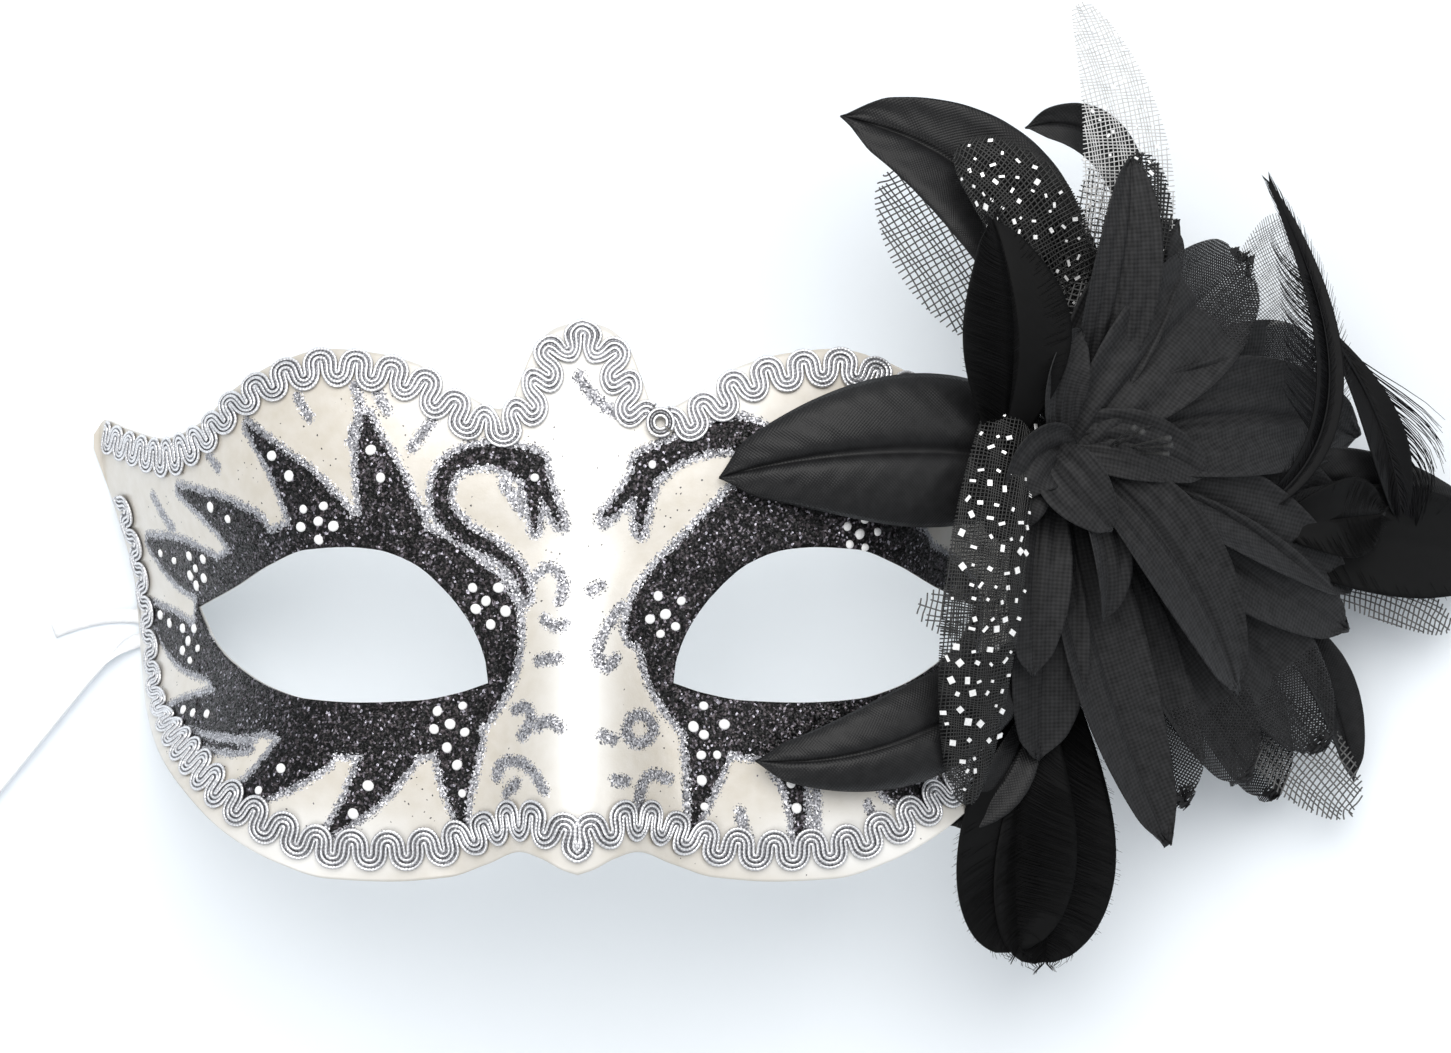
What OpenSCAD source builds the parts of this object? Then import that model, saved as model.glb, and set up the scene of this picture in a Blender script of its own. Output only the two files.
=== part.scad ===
// Venetian half mask lying face up, dressed with braid, a ribbon and a spray of flower, leaves and feathers.
// Frame: X across the face, Y towards the forehead, Z up from the table, origin midway between the temples.

/* [Mask shell] */
// Height of the brow above the table
crown_h = 73; // [65:0.5:80]
// Thickness of the moulded shell
wall = 1.8; // [1.2:0.1:2.4]
// Height of the nose ridge above the brow
nose_h = 19; // [12:0.5:24]
// How far each temple wall drops for every 9 mm outwards
temple_drop = 15.6; // [15:0.1:16.5]
// Height of the relief under each temple rim that lets the ribbons out
relief_h = 1.2; // [0.8:0.1:1.6]

/* [Braid] */
// Width of the scroll braid
braid_w = 8; // [6:0.5:10]
// Thickness of the scroll braid
braid_t = 1.6; // [1:0.1:2.4]
// Distance from the brow edge to the middle of its braid
brow_inset = 4; // [3:0.5:6]
// Distance from the cheek edge to the middle of its braid
cheek_inset = 6.5; // [5:0.5:8]

/* [Ribbon] */
// Width of the satin ribbon
ribbon_w = 3; // [2:0.5:4]
// Thickness of the satin ribbon
ribbon_t = 0.5; // [0.4:0.1:0.8]
// Radius of the middle of the outermost turn of the put-away ribbon
coil_r = 21.5; // [18:0.5:23]
// Number of turns that the coil takes up
coil_turns = 3.4; // [2:0.1:4]

/* [Flower spray] */
// Middle of the flower
flower_at = [102, 33, 51]; // [0:1:150]
// Thickness of a petal, leaf or feather
leaf_t = 0.6; // [0.4:0.1:1]
// Thickness of a net or tulle
net_t = 0.4; // [0.3:0.1:0.6]
// Number of stamens
stamen_count = 5; // [3:1:8]

/* [Hidden] */
// Blades: [name, base, bend, tip, width, widest place along it, cup across it, roll, fullness]
PETAL = "black";
BLADES = [
    ["petal_01", [98, 33, 59], [119, 20, 64], [132, -14, 40], 18, 0.52, 0.14, 0, 0.75],
    ["petal_02", [101, 33, 57], [131, 26, 54], [157, 6, 24], 17, 0.5, 0.15, 10, 0.75],
    ["petal_03", [102, 30, 55], [128, 14, 52], [157, -2, 22], 17, 0.55, 0.15, -8, 0.7],
    ["petal_04", [96, 30, 55], [99, -2, 58], [118, -45, 39], 19, 0.5, 0.12, 8, 0.7],
    ["petal_05", [98, 28, 50], [108, -2, 50], [122, -37, 36], 19, 0.6, 0.1, 0, 0.6],
    ["petal_06", [101, 25, 48], [118, -4, 46], [136, -33, 26], 20, 0.6, 0.1, 0, 0.6],
    ["petal_07", [105, 24, 46], [133, 4, 40], [152, -27, 16], 23, 0.6, 0.08, 0, 0.6],
    ["petal_08", [92, 33, 63], [84, 28, 74], [82, 17, 67], 13, 0.55, 0.15, 0, 0.6],
    ["petal_09", [94, 22, 54], [92, -2, 62], [91, -27, 51], 17, 0.6, 0.12, 0, 0.65],
    ["petal_10", [94, 35, 62], [91, 48, 74], [98, 58, 66], 12, 0.5, 0.2, -20, 0.7],
    ["petal_11", [97, 35, 60], [113, 55, 68], [134, 74, 38], 25, 0.6, 0.1, 0, 0.6],
    ["petal_12", [96, 37, 56], [103, 60, 66], [119, 81, 46], 18, 0.5, 0.1, 10, 0.7],
    ["petal_13", [99, 42, 56], [109, 70, 70], [108, 92, 63], 15, 0.45, 0.1, 0, 0.8],
    ["petal_14", [100, 34, 58], [130, 47, 58], [159, 38, 20], 24, 0.5, 0.12, 0, 0.7],
    ["petal_15", [101, 37, 52], [127, 52, 52], [150, 54, 20], 20, 0.6, 0.1, 0, 0.6],
    ["petal_16", [97, 35, 61], [88, 36, 75], [84, 24, 71], 13, 0.5, 0.15, 15, 0.7],
    ["petal_17", [91, 34, 64], [96, 28, 73], [104, 19, 66], 13, 0.45, 0.2, -15, 0.8],
    ["petal_18", [108, 19, 42], [130, -8, 34], [143, -37, 14], 20, 0.6, 0.08, 0, 0.6],
    ["petal_19", [107, 30, 50], [138, 30, 44], [158, 14, 17], 23, 0.5, 0.1, 0, 0.7],
    ["petal_20", [94, 41, 50], [91, 60, 60], [100, 80, 52], 16, 0.5, 0.1, 0, 0.7],
    ["petal_21", [95, 36, 60], [108, 38, 64], [124, 30, 54], 14, 0.45, 0.15, 0, 0.7],
    ["petal_22", [97, 30, 61], [106, 14, 66], [103, 1, 58], 12, 0.45, 0.2, 25, 0.8],
    ["petal_23", [92, 30, 58], [88, 13, 70], [89, -10, 62], 14, 0.55, 0.15, 0, 0.7],
    ["satin_leaf_left", [95, 32, 60], [60, 38, 84], [27, 29, 75], 30, 0.38, -0.1, 0, 0.9],
    ["satin_leaf_lower_left", [92, -4, 52], [66, -28, 82], [34, -26, 75], 19, 0.42, -0.1, 0, 0.9],
    ["satin_leaf_top_left", [94, 48, 46], [95, 92, 62], [51, 101, 56], 26, 0.5, 0.1, 0, 0.9],
    ["satin_leaf_top_small", [112, 64, 40], [112, 106, 50], [88, 99, 52], 10.5, 0.6, 0.15, 0, 0.8],
    ["satin_leaf_right", [128, 24, 36], [150, 34, 34], [184, 23, 12], 14, 0.5, 0.1, 0, 0.8],
    ["satin_leaf_rolled", [136, 2, 28], [154, -4, 22], [160, -34, 8], 10.5, 0.55, 0.3, 0, 0.8],
    ["satin_leaf_lower_tip", [90, -16, 46], [86, -34, 54], [73, -40, 52], 10.5, 0.5, 0.15, 0, 0.8],
    ["goose_feather_upper", [82, 34, 66], [87, 57, 83], [80, 79, 76], 24, 0.5, 0.1, 0, 1.15],
    ["goose_feather_lower_a", [91, -12, 46], [84, -36, 54], [87.5, -66, 42], 28, 0.68, 0.05, 0, 0.5],
    ["goose_feather_lower_b", [96, -12, 43], [95, -38, 50], [93, -69, 38], 28, 0.68, 0.05, 0, 0.5],
    ["goose_feather_right", [134, 16, 32], [160, 20, 30], [190, 12, 8], 24, 0.6, 0.08, 0, 0.6],
    ["goose_feather_fan", [138, 19, 37], [150, 21, 38], [163, 22, 27], 17, 0.7, 0.1, 0, 0.6],
    ["coque_feather_tall", [133, 21, 40], [164, 38, 46], [138, 89, 42], 10, 0.5, 0.1, 0, 0.8],
    ["coque_feather_right", [150, 60, 36], [164, 42, 36], [168, 20, 22], 18, 0.6, 0.1, 0, 0.8],
    ["net_top", [107, 62, 46], [112, 98, 56], [98, 123, 58], 21, 0.3, 0.05, 0, 0.8],
    ["net_upper_left", [82, 58, 40], [72, 76, 48], [61, 91, 44], 22, 0.5, 0.05, 0, 0.6],
    ["net_upper_mid", [95, 54, 54], [101, 72, 58], [104, 94, 50], 12, 0.5, 0.05, 0, 0.6],
    ["net_right", [148, 9, 22], [166, 7, 20], [180, -2, 10], 11, 0.5, 0.05, 0, 0.6],
    ["net_lower_right", [128, -14, 24], [145, -24, 20], [160, -40, 10], 19, 0.55, 0.05, 0, 0.6],
    ["net_eye_corner", [84, 2, 60], [75, 2, 68], [66, 4, 63], 11, 0.5, 0.05, 0, 0.6],
    ["organza_ruffle", [121, 56, 36], [134, 67, 42], [148, 75, 28], 24, 0.8, 0.1, 0, 0.6],
    ["dotted_tulle_sash", [86, 50, 66], [77, 8, 88], [76, -35, 66], 17, 0.5, -0.1, 0, 0.5],
    ["dotted_tulle_leaf", [97, 56, 52], [92, 84, 66], [74, 94, 62], 20, 0.5, 0.1, 0, 0.6],
    ["dotted_tulle_top", [104, 58, 48], [111, 77, 57], [111, 94, 54], 15, 0.5, 0.1, 0, 0.6],
];

// Right half of the brow edge, from the forehead peak to the temple tip
BROW = [[0, 60], [5, 58.5], [9, 55], [12, 48], [14, 43], [16, 42.5], [22, 45], [30, 50.5], [40, 53.5],
    [50, 54.5], [60, 52], [70, 46.5], [77, 40.5], [86, 37.5], [97, 40], [103, 42], [105.5, 39]];
// Right half of the cheek edge, from under the nose to the temple tip
CHEEK = [[0, -47], [3, -46], [7, -44], [11, -43], [18, -46], [26, -49], [38, -50], [50, -49.5],
    [60, -46.5], [70, -41.5], [80, -34], [88, -26.5], [93, -18], [95.5, -6], [96.5, 7], [100, 20.5],
    [105.5, 36]];
// Upper and lower lids of the right eye hole, from the inner to the outer corner
LID_UP = [[18, -11], [18.5, -7], [21, -0.5], [26, 6.5], [33, 12.5], [40, 15], [46, 15.5], [54, 15],
    [62, 12], [70, 7.5], [79.5, 3]];
LID_LOW = [[18, -11], [24, -13], [32, -14.5], [44, -15], [54, -14.5], [62, -12.5], [70, -8.5],
    [75, -4.5], [79.5, 3]];
eye_in = LID_UP[0].x;
eye_out = LID_UP[len(LID_UP) - 1].x;
temple_x = BROW[len(BROW) - 1].x;
strip_rows = 7;
column_gap = 3.2;
rim_min = 0.6;
ribbon_y = -2;

// Smooth curve through points of rising x, level at every crest
function span(p, x, i = 0) = (i >= len(p) - 2 || x < p[i + 1].x) ? i : span(p, x, i + 1);
function chord(p, i) = (p[i + 1].y - p[i].y) / (p[i + 1].x - p[i].x);
function blend_slope(a, b) = a * b <= 0 ? 0 : 2 * a * b / (a + b);
function knot_slope(p, i) = i == 0 ? chord(p, 0) :
    i == len(p) - 1 ? chord(p, i - 1) : blend_slope(chord(p, i - 1), chord(p, i));
function hermite(y0, y1, m0, m1, t) = (1 + 2 * t) * (1 - t) * (1 - t) * y0 + t * t * (3 - 2 * t) * y1
    + t * (1 - t) * (1 - t) * m0 - t * t * (1 - t) * m1;
function curve_in(p, x, i) = let (w = p[i + 1].x - p[i].x)
    hermite(p[i].y, p[i + 1].y, knot_slope(p, i) * w, knot_slope(p, i + 1) * w, (x - p[i].x) / w);
function curve(p, x) = curve_in(p, x, span(p, x));

// Front face of the shell: level brow, temples that fall away, hollow eye sockets and a nose ridge
function soft(t) = ln(1 + exp(t));
function bell(t) = exp(-t * t);
function shoulder(y) = 71.5 - 12 * bell((y + 4) / (y > -4 ? 32 : 25)) + 0.3 * max(0, -20 - y);
function nose_t(y) = min(max((18 - y) / 66, 0), 1);
function nose_rise(y) = let (t = nose_t(y)) nose_h * pow(t * t * (3 - 2 * t), 0.8);
function nose(x, y) = nose_rise(y) * exp(-pow(abs(x) / (7.5 + 9.5 * nose_t(y)), 2.6));
function front(x, y) = crown_h - 0.001 * x * x - temple_drop * soft((abs(x) - shoulder(y)) / 9)
    - 0.0055 * pow(max(0, y - 22), 2) - 0.005 * pow(max(0, -25 - y), 2)
    - 2.5 * bell(norm([(abs(x) - 45) / 24, (y + 1) / 14])) + nose(x, y);
function fall_x(x, y) = (front(x + 0.5, y) - front(x - 0.5, y));
function fall_y(x, y) = (front(x, y + 0.5) - front(x, y - 0.5));
function normal_at(x, y) = unit([-fall_x(x, y), -fall_y(x, y), 1]);
function unit(v) = v / norm(v);
function relief(y) = relief_h * exp(-pow(abs(y - ribbon_y) / 5, 4));
function top_z(x, y) = max(front(x, y), rim_min + relief(y));
function thick_z(x, y) = wall * min(norm([fall_x(x, y), fall_y(x, y), 1]), 2.4);
function under_z(x, y) = max(top_z(x, y) - thick_z(x, y), abs(x) > 80 ? relief(y) : 0);
function on_shell(x, y, h) = [x, y, top_z(x, y)] + h * normal_at(x, y);

// Columns of the shell: every x that an outline uses, with long gaps shared out evenly
function insert(v, x) = [for (a = v) if (a < x) a, x, for (a = v) if (a > x) a];
function sorted(v, i = 0, out = []) = i == len(v) ? out : sorted(v, i + 1, insert(out, v[i]));
function thinned(v) = [for (i = [0:len(v) - 1]) if (i == 0 || v[i] - v[i - 1] > 0.25) v[i]];
function filled(v) = [for (i = [0:len(v) - 2]) let (n = ceil((v[i + 1] - v[i]) / column_gap))
    for (k = [0:n - 1]) v[i] + (v[i + 1] - v[i]) * k / n, v[len(v) - 1]];
HALF = filled(thinned(sorted([for (p = concat(BROW, CHEEK, LID_UP, LID_LOW)) p.x])));
COLUMNS = [for (i = [len(HALF) - 1:-1:1]) -HALF[i], for (x = HALF) x];

// Rows of one column: cheek edge to lower lid, then upper lid to brow edge
function in_eye(x) = abs(x) > eye_in && abs(x) < eye_out;
function share(x) = let (e = abs(x) < eye_in + 1 ? eye_in : eye_out)
    (curve(LID_LOW, e) - curve(CHEEK, e)) / (curve(BROW, e) - curve(CHEEK, e));
function waist(x) = let (a = abs(x)) curve(CHEEK, a) + share(a) * (curve(BROW, a) - curve(CHEEK, a));
function lid_low(x) = in_eye(x) ? curve(LID_LOW, abs(x)) : waist(x);
function lid_up(x) = in_eye(x) ? curve(LID_UP, abs(x)) : waist(x);
function row_y(x, r) = r <= strip_rows ?
    curve(CHEEK, abs(x)) + (lid_low(x) - curve(CHEEK, abs(x))) * r / strip_rows :
    lid_up(x) + (curve(BROW, abs(x)) - lid_up(x)) * (r - strip_rows - 1) / strip_rows;
shell_rows = 2 * strip_rows + 2;
shell_cols = len(COLUMNS);
function shared_row(r, c) = (r == strip_rows + 1 && !in_eye(COLUMNS[c])) ? strip_rows : r;
function shell_id(side, r, c) = side * shell_rows * shell_cols + shared_row(r, c) * shell_cols + c;
function eye_cell(c) = let (a = abs(COLUMNS[c]), b = abs(COLUMNS[c + 1]))
    min(a, b) >= eye_in && max(a, b) <= eye_out;
function quad(a, b, c, d) = [[a, b, c], [a, c, d]];
function shell_cell(r, c) = concat(
    quad(shell_id(1, r, c), shell_id(1, r + 1, c), shell_id(1, r + 1, c + 1), shell_id(1, r, c + 1)),
    quad(shell_id(0, r, c), shell_id(0, r, c + 1), shell_id(0, r + 1, c + 1), shell_id(0, r + 1, c)));
function low_rim(r, c) =
    quad(shell_id(1, r, c), shell_id(1, r, c + 1), shell_id(0, r, c + 1), shell_id(0, r, c));
function high_rim(r, c) =
    quad(shell_id(1, r, c + 1), shell_id(1, r, c), shell_id(0, r, c), shell_id(0, r, c + 1));
function left_rim(r) =
    quad(shell_id(1, r + 1, 0), shell_id(1, r, 0), shell_id(0, r, 0), shell_id(0, r + 1, 0));
function right_rim(r) = let (c = shell_cols - 1)
    quad(shell_id(1, r, c), shell_id(1, r + 1, c), shell_id(0, r + 1, c), shell_id(0, r, c));

module mask_shell() {
    points = [for (side = [0, 1]) for (r = [0:shell_rows - 1]) for (x = COLUMNS)
        let (y = row_y(x, r)) [x, y, side == 1 ? top_z(x, y) : under_z(x, y)]];
    cell_rows = [for (r = [0:shell_rows - 2]) if (r != strip_rows) r];
    cells = [for (r = cell_rows) for (c = [0:shell_cols - 2]) each shell_cell(r, c)];
    outer = [for (c = [0:shell_cols - 2]) each concat(low_rim(0, c), high_rim(shell_rows - 1, c))];
    lids = [for (c = [0:shell_cols - 2]) if (eye_cell(c))
        each concat(high_rim(strip_rows, c), low_rim(strip_rows + 1, c))];
    sides = [for (r = cell_rows) each concat(left_rim(r), right_rim(r))];
    color("ivory") polyhedron(points, concat(cells, outer, lids, sides), convexity = 10);
}

// Closed thin solid between two grids of points, rows along it and cols across it
module grid_solid(upper, lower, rows, cols) {
    n = rows * cols;
    function g(side, i, j) = side * n + i * cols + j;
    faces = [
        for (i = [0:rows - 2]) for (j = [0:cols - 2]) each concat(
            quad(g(1, i, j), g(1, i + 1, j), g(1, i + 1, j + 1), g(1, i, j + 1)),
            quad(g(0, i, j), g(0, i, j + 1), g(0, i + 1, j + 1), g(0, i + 1, j))),
        for (j = [0:cols - 2]) each concat(
            quad(g(1, 0, j), g(1, 0, j + 1), g(0, 0, j + 1), g(0, 0, j)),
            quad(g(1, rows - 1, j + 1), g(1, rows - 1, j), g(0, rows - 1, j), g(0, rows - 1, j + 1))),
        for (i = [0:rows - 2]) each concat(
            quad(g(1, i + 1, 0), g(1, i, 0), g(0, i, 0), g(0, i + 1, 0)),
            quad(g(1, i, cols - 1), g(1, i + 1, cols - 1), g(0, i + 1, cols - 1), g(0, i, cols - 1)))];
    polyhedron(concat(lower, upper), faces, convexity = 6);
}

// Braid laid on the shell along a plan line of [x, y, sideways x, sideways y]
function lay_in(x, y, sx, sy, d) = let (g = fall_x(x, y) * sx + fall_y(x, y) * sy)
    [x, y] + [sx, sy] * d / norm([g, 1]);
module braid(line) {
    lift = 0.1;
    function edge(l, d, h) = let (q = lay_in(l[0], l[1], l[2], l[3], d)) on_shell(q.x, q.y, h);
    offsets = [-braid_w / 2, 0, braid_w / 2];
    upper = [for (l = line) for (d = offsets) edge(l, d, lift + braid_t)];
    lower = [for (l = line) for (d = offsets) edge(l, d, lift)];
    color("silver") grid_solid(upper, lower, len(line), 3);
}
function turn_of(p, x) = let (a = abs(x), s = (x < 0 ? -1 : 1)
    * (curve(p, min(a + 0.4, temple_x)) - curve(p, max(a - 0.4, 0)))
    / (min(a + 0.4, temple_x) - max(a - 0.4, 0))) x == 0 ? [0, 1] : unit([-s, 1]);
function inset_line(p, xs, d, way) = [for (x = xs) let (n = turn_of(p, x) * way,
    q = lay_in(x, curve(p, abs(x)), n.x, n.y, d)) [q.x, q.y, n.x * way, n.y * way]];
function steps(a, b, n) = [for (i = [0:n]) a + (b - a) * i / n];
brow_end = 14.6;
module brow_braid_left() {
    braid(inset_line(BROW, concat(steps(-102, -20, 26), steps(-17, brow_end, 20)), brow_inset, -1));
}
module brow_braid_right() {
    braid(inset_line(BROW, concat(steps(brow_end + 2, 20, 2), steps(23, 102, 25)), brow_inset, -1));
}
module cheek_braid() {
    side = [for (x = HALF) if (x > 84 && x < 102) x];
    left = [for (i = [len(side) - 1:-1:0]) -side[i]];
    braid(inset_line(CHEEK, concat(left, steps(-83, 83, 50), side), cheek_inset, 1));
}
module braid_join() {
    spot = [15.5, 39.5];
    color("silver") translate(on_shell(spot.x, spot.y, braid_t + 0.2)) difference() {
        cylinder(d = 6, h = 1.2, $fn = 32);
        translate([0, 0, -0.1]) cylinder(d = 3, h = 1.4, $fn = 32);
    }
}

// Felt laid on the shell: an oval in plan around spot, on the front or on the inner face
function oval(s, t, rx, ry) = [rx * s * sqrt(1 - t * t / 2), ry * t * sqrt(1 - s * s / 2)];
module felt(spot, rx, ry, gap, thick, inside) {
    marks = steps(-1, 1, 8);
    way = inside ? -1 : 1;
    function at(s, t, h) = let (q = spot + oval(s, t, rx, ry), z = inside ? under_z(q.x, q.y)
        : top_z(q.x, q.y)) [q.x, q.y, z] + way * h * normal_at(q.x, q.y);
    outer = [for (t = marks) for (s = marks) at(s, t, gap + (inside ? 0 : thick))];
    inner = [for (t = marks) for (s = marks) at(s, t, gap + (inside ? thick : 0))];
    grid_solid(outer, inner, len(marks), len(marks));
}
patch_at = [-86.5, ribbon_y];
pad_at = [85, 31];
module ribbon_patch() { color("whitesmoke") felt(patch_at, 2.6, 6, 0.1, 0.6, true); }
module felt_pad() { color("dimgray") felt(pad_at, 6, 13, 0.1, 1.2, false); }

// Ribbons: flattened tubes along hand-laid routes of [x, y, z, tilt of the width from level]
MAIN_ROUTE = [[-87.8, -4, 7.6, 0], [-89.2, -4, 5.3, 0], [-90.7, -4, 3.2, 0], [-92.4, -4, 1.7, 0],
    [-94.3, -4.2, 0.8, 0], [-96.4, -4.7, 0.6, 8], [-98.4, -5.6, 1, 30], [-100.4, -7, 1.5, 60],
    [-102.6, -9.2, 1.75, 85], [-106, -13, 1.8, 90], [-110, -17.9, 1.8, 90], [-114, -22.8, 1.8, 90],
    [-118, -27.7, 1.8, 90], [-122, -32.6, 1.8, 90], [-125.5, -36.9, 1.8, 90], [-127.5, -39.3, 1.8, 90]];
TAIL_ROUTE = [[-87.6, 0.3, 8, 0], [-89.1, 0.3, 5.4, 0], [-90.6, 0.3, 3.3, 0], [-92.3, 0.3, 1.7, 0],
    [-94.4, 0.4, 0.75, 0], [-97, 0.6, 0.4, 0], [-100, 0.7, 0.35, 0], [-103, 0.5, 0.35, 0],
    [-106, 0, 0.35, 0], [-109, -0.8, 0.35, 0], [-112, -1.8, 0.35, 0], [-114, -2.6, 0.35, 0]];
function xyz(p) = [p[0], p[1], p[2]];
function heading(r, i) = unit(xyz(r[min(i + 1, len(r) - 1)]) - xyz(r[max(i - 1, 0)]));
function ring(r, i) = let (t = heading(r, i), side = unit(cross([0, 0, 1], t)), up = cross(t, side),
    wide = side * cos(r[i][3]) + up * sin(r[i][3]), flat = cross(t, wide))
    [for (k = [0:7]) xyz(r[i]) + wide * cos(45 * k + 22.5) * ribbon_w * 0.54
        + flat * sin(45 * k + 22.5) * ribbon_t * 0.54];
module tube(route) {
    n = len(route);
    points = [for (i = [0:n - 1]) each ring(route, i)];
    sides = [for (i = [0:n - 2]) for (k = [0:7]) let (a = i * 8 + k, b = i * 8 + (k + 1) % 8)
        each quad(a, a + 8, b + 8, b)];
    first = [for (k = [0:7]) k];
    last = [for (k = [7:-1:0]) (n - 1) * 8 + k];
    polyhedron(points, concat(sides, [first, last]), convexity = 6);
}
module left_ribbon() { color("white") tube(MAIN_ROUTE); }
module left_ribbon_tail() { color("white") tube(TAIL_ROUTE); }
coil_at = [-149.7, -32.5, 0];
coil_low = 0.25;
coil_in = coil_r - ribbon_w * coil_turns - 1;
coil_out = coil_r + 1.7;
module left_ribbon_coil() {
    color("white") translate(coil_at) rotate_extrude($fn = 96)
        translate([coil_in, coil_low]) square([coil_out - coil_in, ribbon_w + 0.1]);
}
module ribbon_coil_tie() {
    depth = coil_out - coil_in;
    color("gainsboro") translate(coil_at + [-(coil_in + coil_out) / 2, 0, 0]) difference() {
        translate([-depth / 2 - 0.6, -1.4, 0]) cube([depth + 1.2, 2.8, ribbon_w + 0.8]);
        translate([-depth / 2 - 0.1, -1.5, 0.2]) cube([depth + 0.2, 3, ribbon_w + 0.2]);
    }
}

// Flower core
module along(from, to) {
    d = to - from;
    translate(from) rotate([0, acos(d.z / norm(d)), atan2(d.y, d.x)]) children();
}
calyx_from = on_shell(pad_at.x, pad_at.y, 1.5);
module flower_calyx() {
    d = norm(flower_at - calyx_from);
    color("black") along(calyx_from, flower_at) {
        cylinder(h = d * 0.75, r1 = 7, r2 = 3.2, $fn = 32);
        translate([0, 0, d * 0.75]) cylinder(h = d * 0.25, r1 = 3.2, r2 = 4.2, $fn = 32);
    }
}
module flower_stamens() {
    color("black") for (i = [0:stamen_count - 1]) {
        a = 20 + 12 * i;
        reach = [cos(a) * 17, sin(a) * 8 - 2, 13 + 1.5 * i];
        along(flower_at + reach * 0.2 + [0, 0, i], flower_at + reach) {
            cylinder(h = norm(reach) * 0.8, r = 0.4, $fn = 16);
            translate([0, 0, norm(reach) * 0.8]) cylinder(h = 2.2, r = 0.8, $fn = 16);
        }
    }
}

flower_up = [0.35, 0, 0.94];
blade_rows = 9;
blade_cols = 5;
blunt_end = 0.18;
function bent(b, m, t, u) = (1 - u) * (1 - u) * b + 2 * u * (1 - u) * m + u * u * t;
function bent_way(b, m, t, u) = unit((1 - u) * (m - b) + u * (t - m));
function fullness(u, peak, full) = blunt_end + (1 - blunt_end)
    * pow(max(0, sin(180 * pow(u, ln(0.5) / ln(peak)))), full);
module blade(b, thick) {
    us = steps(0, 1, blade_rows - 1);
    vs = steps(-1, 1, blade_cols - 1);
    function at(u, v, h) = let (t = bent_way(b[1], b[2], b[3], u), s0 = unit(cross(t, flower_up)),
        n0 = cross(s0, t), s = s0 * cos(b[7]) + n0 * sin(b[7]), n = n0 * cos(b[7]) - s0 * sin(b[7]),
        w = b[4] * fullness(u, b[5], b[8])) bent(b[1], b[2], b[3], u) + s * v * w / 2
        + n * (b[6] * w * v * v + h);
    upper = [for (u = us) for (v = vs) at(u, v, thick / 2)];
    lower = [for (u = us) for (v = vs) at(u, v, -thick / 2)];
    grid_solid(upper, lower, blade_rows, blade_cols);
}
function is_net(name) = name[0] == "n" || name[0] == "d" || name[0] == "o";
module spray(name) {
    for (b = BLADES) if (b[0] == name)
        color(is_net(name) ? "gray" : PETAL) blade(b, is_net(name) ? net_t : leaf_t);
}

mask_shell();
brow_braid_left();
brow_braid_right();
cheek_braid();
braid_join();
ribbon_patch();
left_ribbon();
left_ribbon_tail();
left_ribbon_coil();
ribbon_coil_tie();
felt_pad();
flower_calyx();
flower_stamens();
for (b = BLADES) spray(b[0]);
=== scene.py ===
import math

import bpy
import numpy as np
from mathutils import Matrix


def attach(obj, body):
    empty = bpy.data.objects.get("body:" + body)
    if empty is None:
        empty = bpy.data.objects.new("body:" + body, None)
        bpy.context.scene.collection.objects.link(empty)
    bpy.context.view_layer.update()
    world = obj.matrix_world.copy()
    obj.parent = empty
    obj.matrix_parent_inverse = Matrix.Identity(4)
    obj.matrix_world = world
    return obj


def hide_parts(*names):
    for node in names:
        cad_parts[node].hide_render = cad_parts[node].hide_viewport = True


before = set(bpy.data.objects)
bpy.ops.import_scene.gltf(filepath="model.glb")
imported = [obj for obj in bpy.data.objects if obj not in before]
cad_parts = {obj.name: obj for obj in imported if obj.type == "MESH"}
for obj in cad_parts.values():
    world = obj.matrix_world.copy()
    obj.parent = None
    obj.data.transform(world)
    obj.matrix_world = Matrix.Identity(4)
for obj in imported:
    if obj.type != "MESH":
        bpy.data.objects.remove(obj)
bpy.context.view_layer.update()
MM = 0.001
rng = np.random.default_rng(7)

# ---- helpers


def unit(v):
    """Unit vectors of an array of vectors."""
    return v / np.maximum(np.linalg.norm(v, axis=-1, keepdims=True), 1e-12)


def vec(x, y, z):
    return np.array([x, y, z], float)


def build(name, points, faces, material, smooth=True, **attributes):
    """A mesh piece from points in mm and arrays of faces that share a corner count."""
    mesh = bpy.data.meshes.new(name)
    points = np.asarray(points, float) * MM
    mesh.vertices.add(len(points))
    mesh.vertices.foreach_set("co", points.ravel())
    groups = [np.asarray(f, np.int32) for f in faces if len(f)]
    corners = np.concatenate([g.ravel() for g in groups])
    sizes = np.concatenate([np.full(len(g), g.shape[1], np.int32) for g in groups])
    mesh.loops.add(len(corners))
    mesh.loops.foreach_set("vertex_index", corners)
    mesh.polygons.add(len(sizes))
    mesh.polygons.foreach_set("loop_start", (np.cumsum(sizes) - sizes).astype(np.int32))
    mesh.update(calc_edges=True)
    mesh.polygons.foreach_set("use_smooth", np.full(len(sizes), smooth))
    for key, values in attributes.items():
        values = np.asarray(values, np.float32)
        kind = "FLOAT" if values.ndim == 1 else "FLOAT_VECTOR"
        layer = mesh.attributes.new(key, kind, "POINT")
        layer.data.foreach_set("value" if values.ndim == 1 else "vector", values.ravel())
    obj = bpy.data.objects.new(name, mesh)
    bpy.context.scene.collection.objects.link(obj)
    mesh.materials.append(material)
    return obj


def stand_for(obj, slot, *nodes):
    """Rides on the one body, and replaces the CAD nodes it is the look of by hiding them."""
    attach(obj, "root")
    if nodes:
        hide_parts(*nodes)
    return obj


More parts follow.
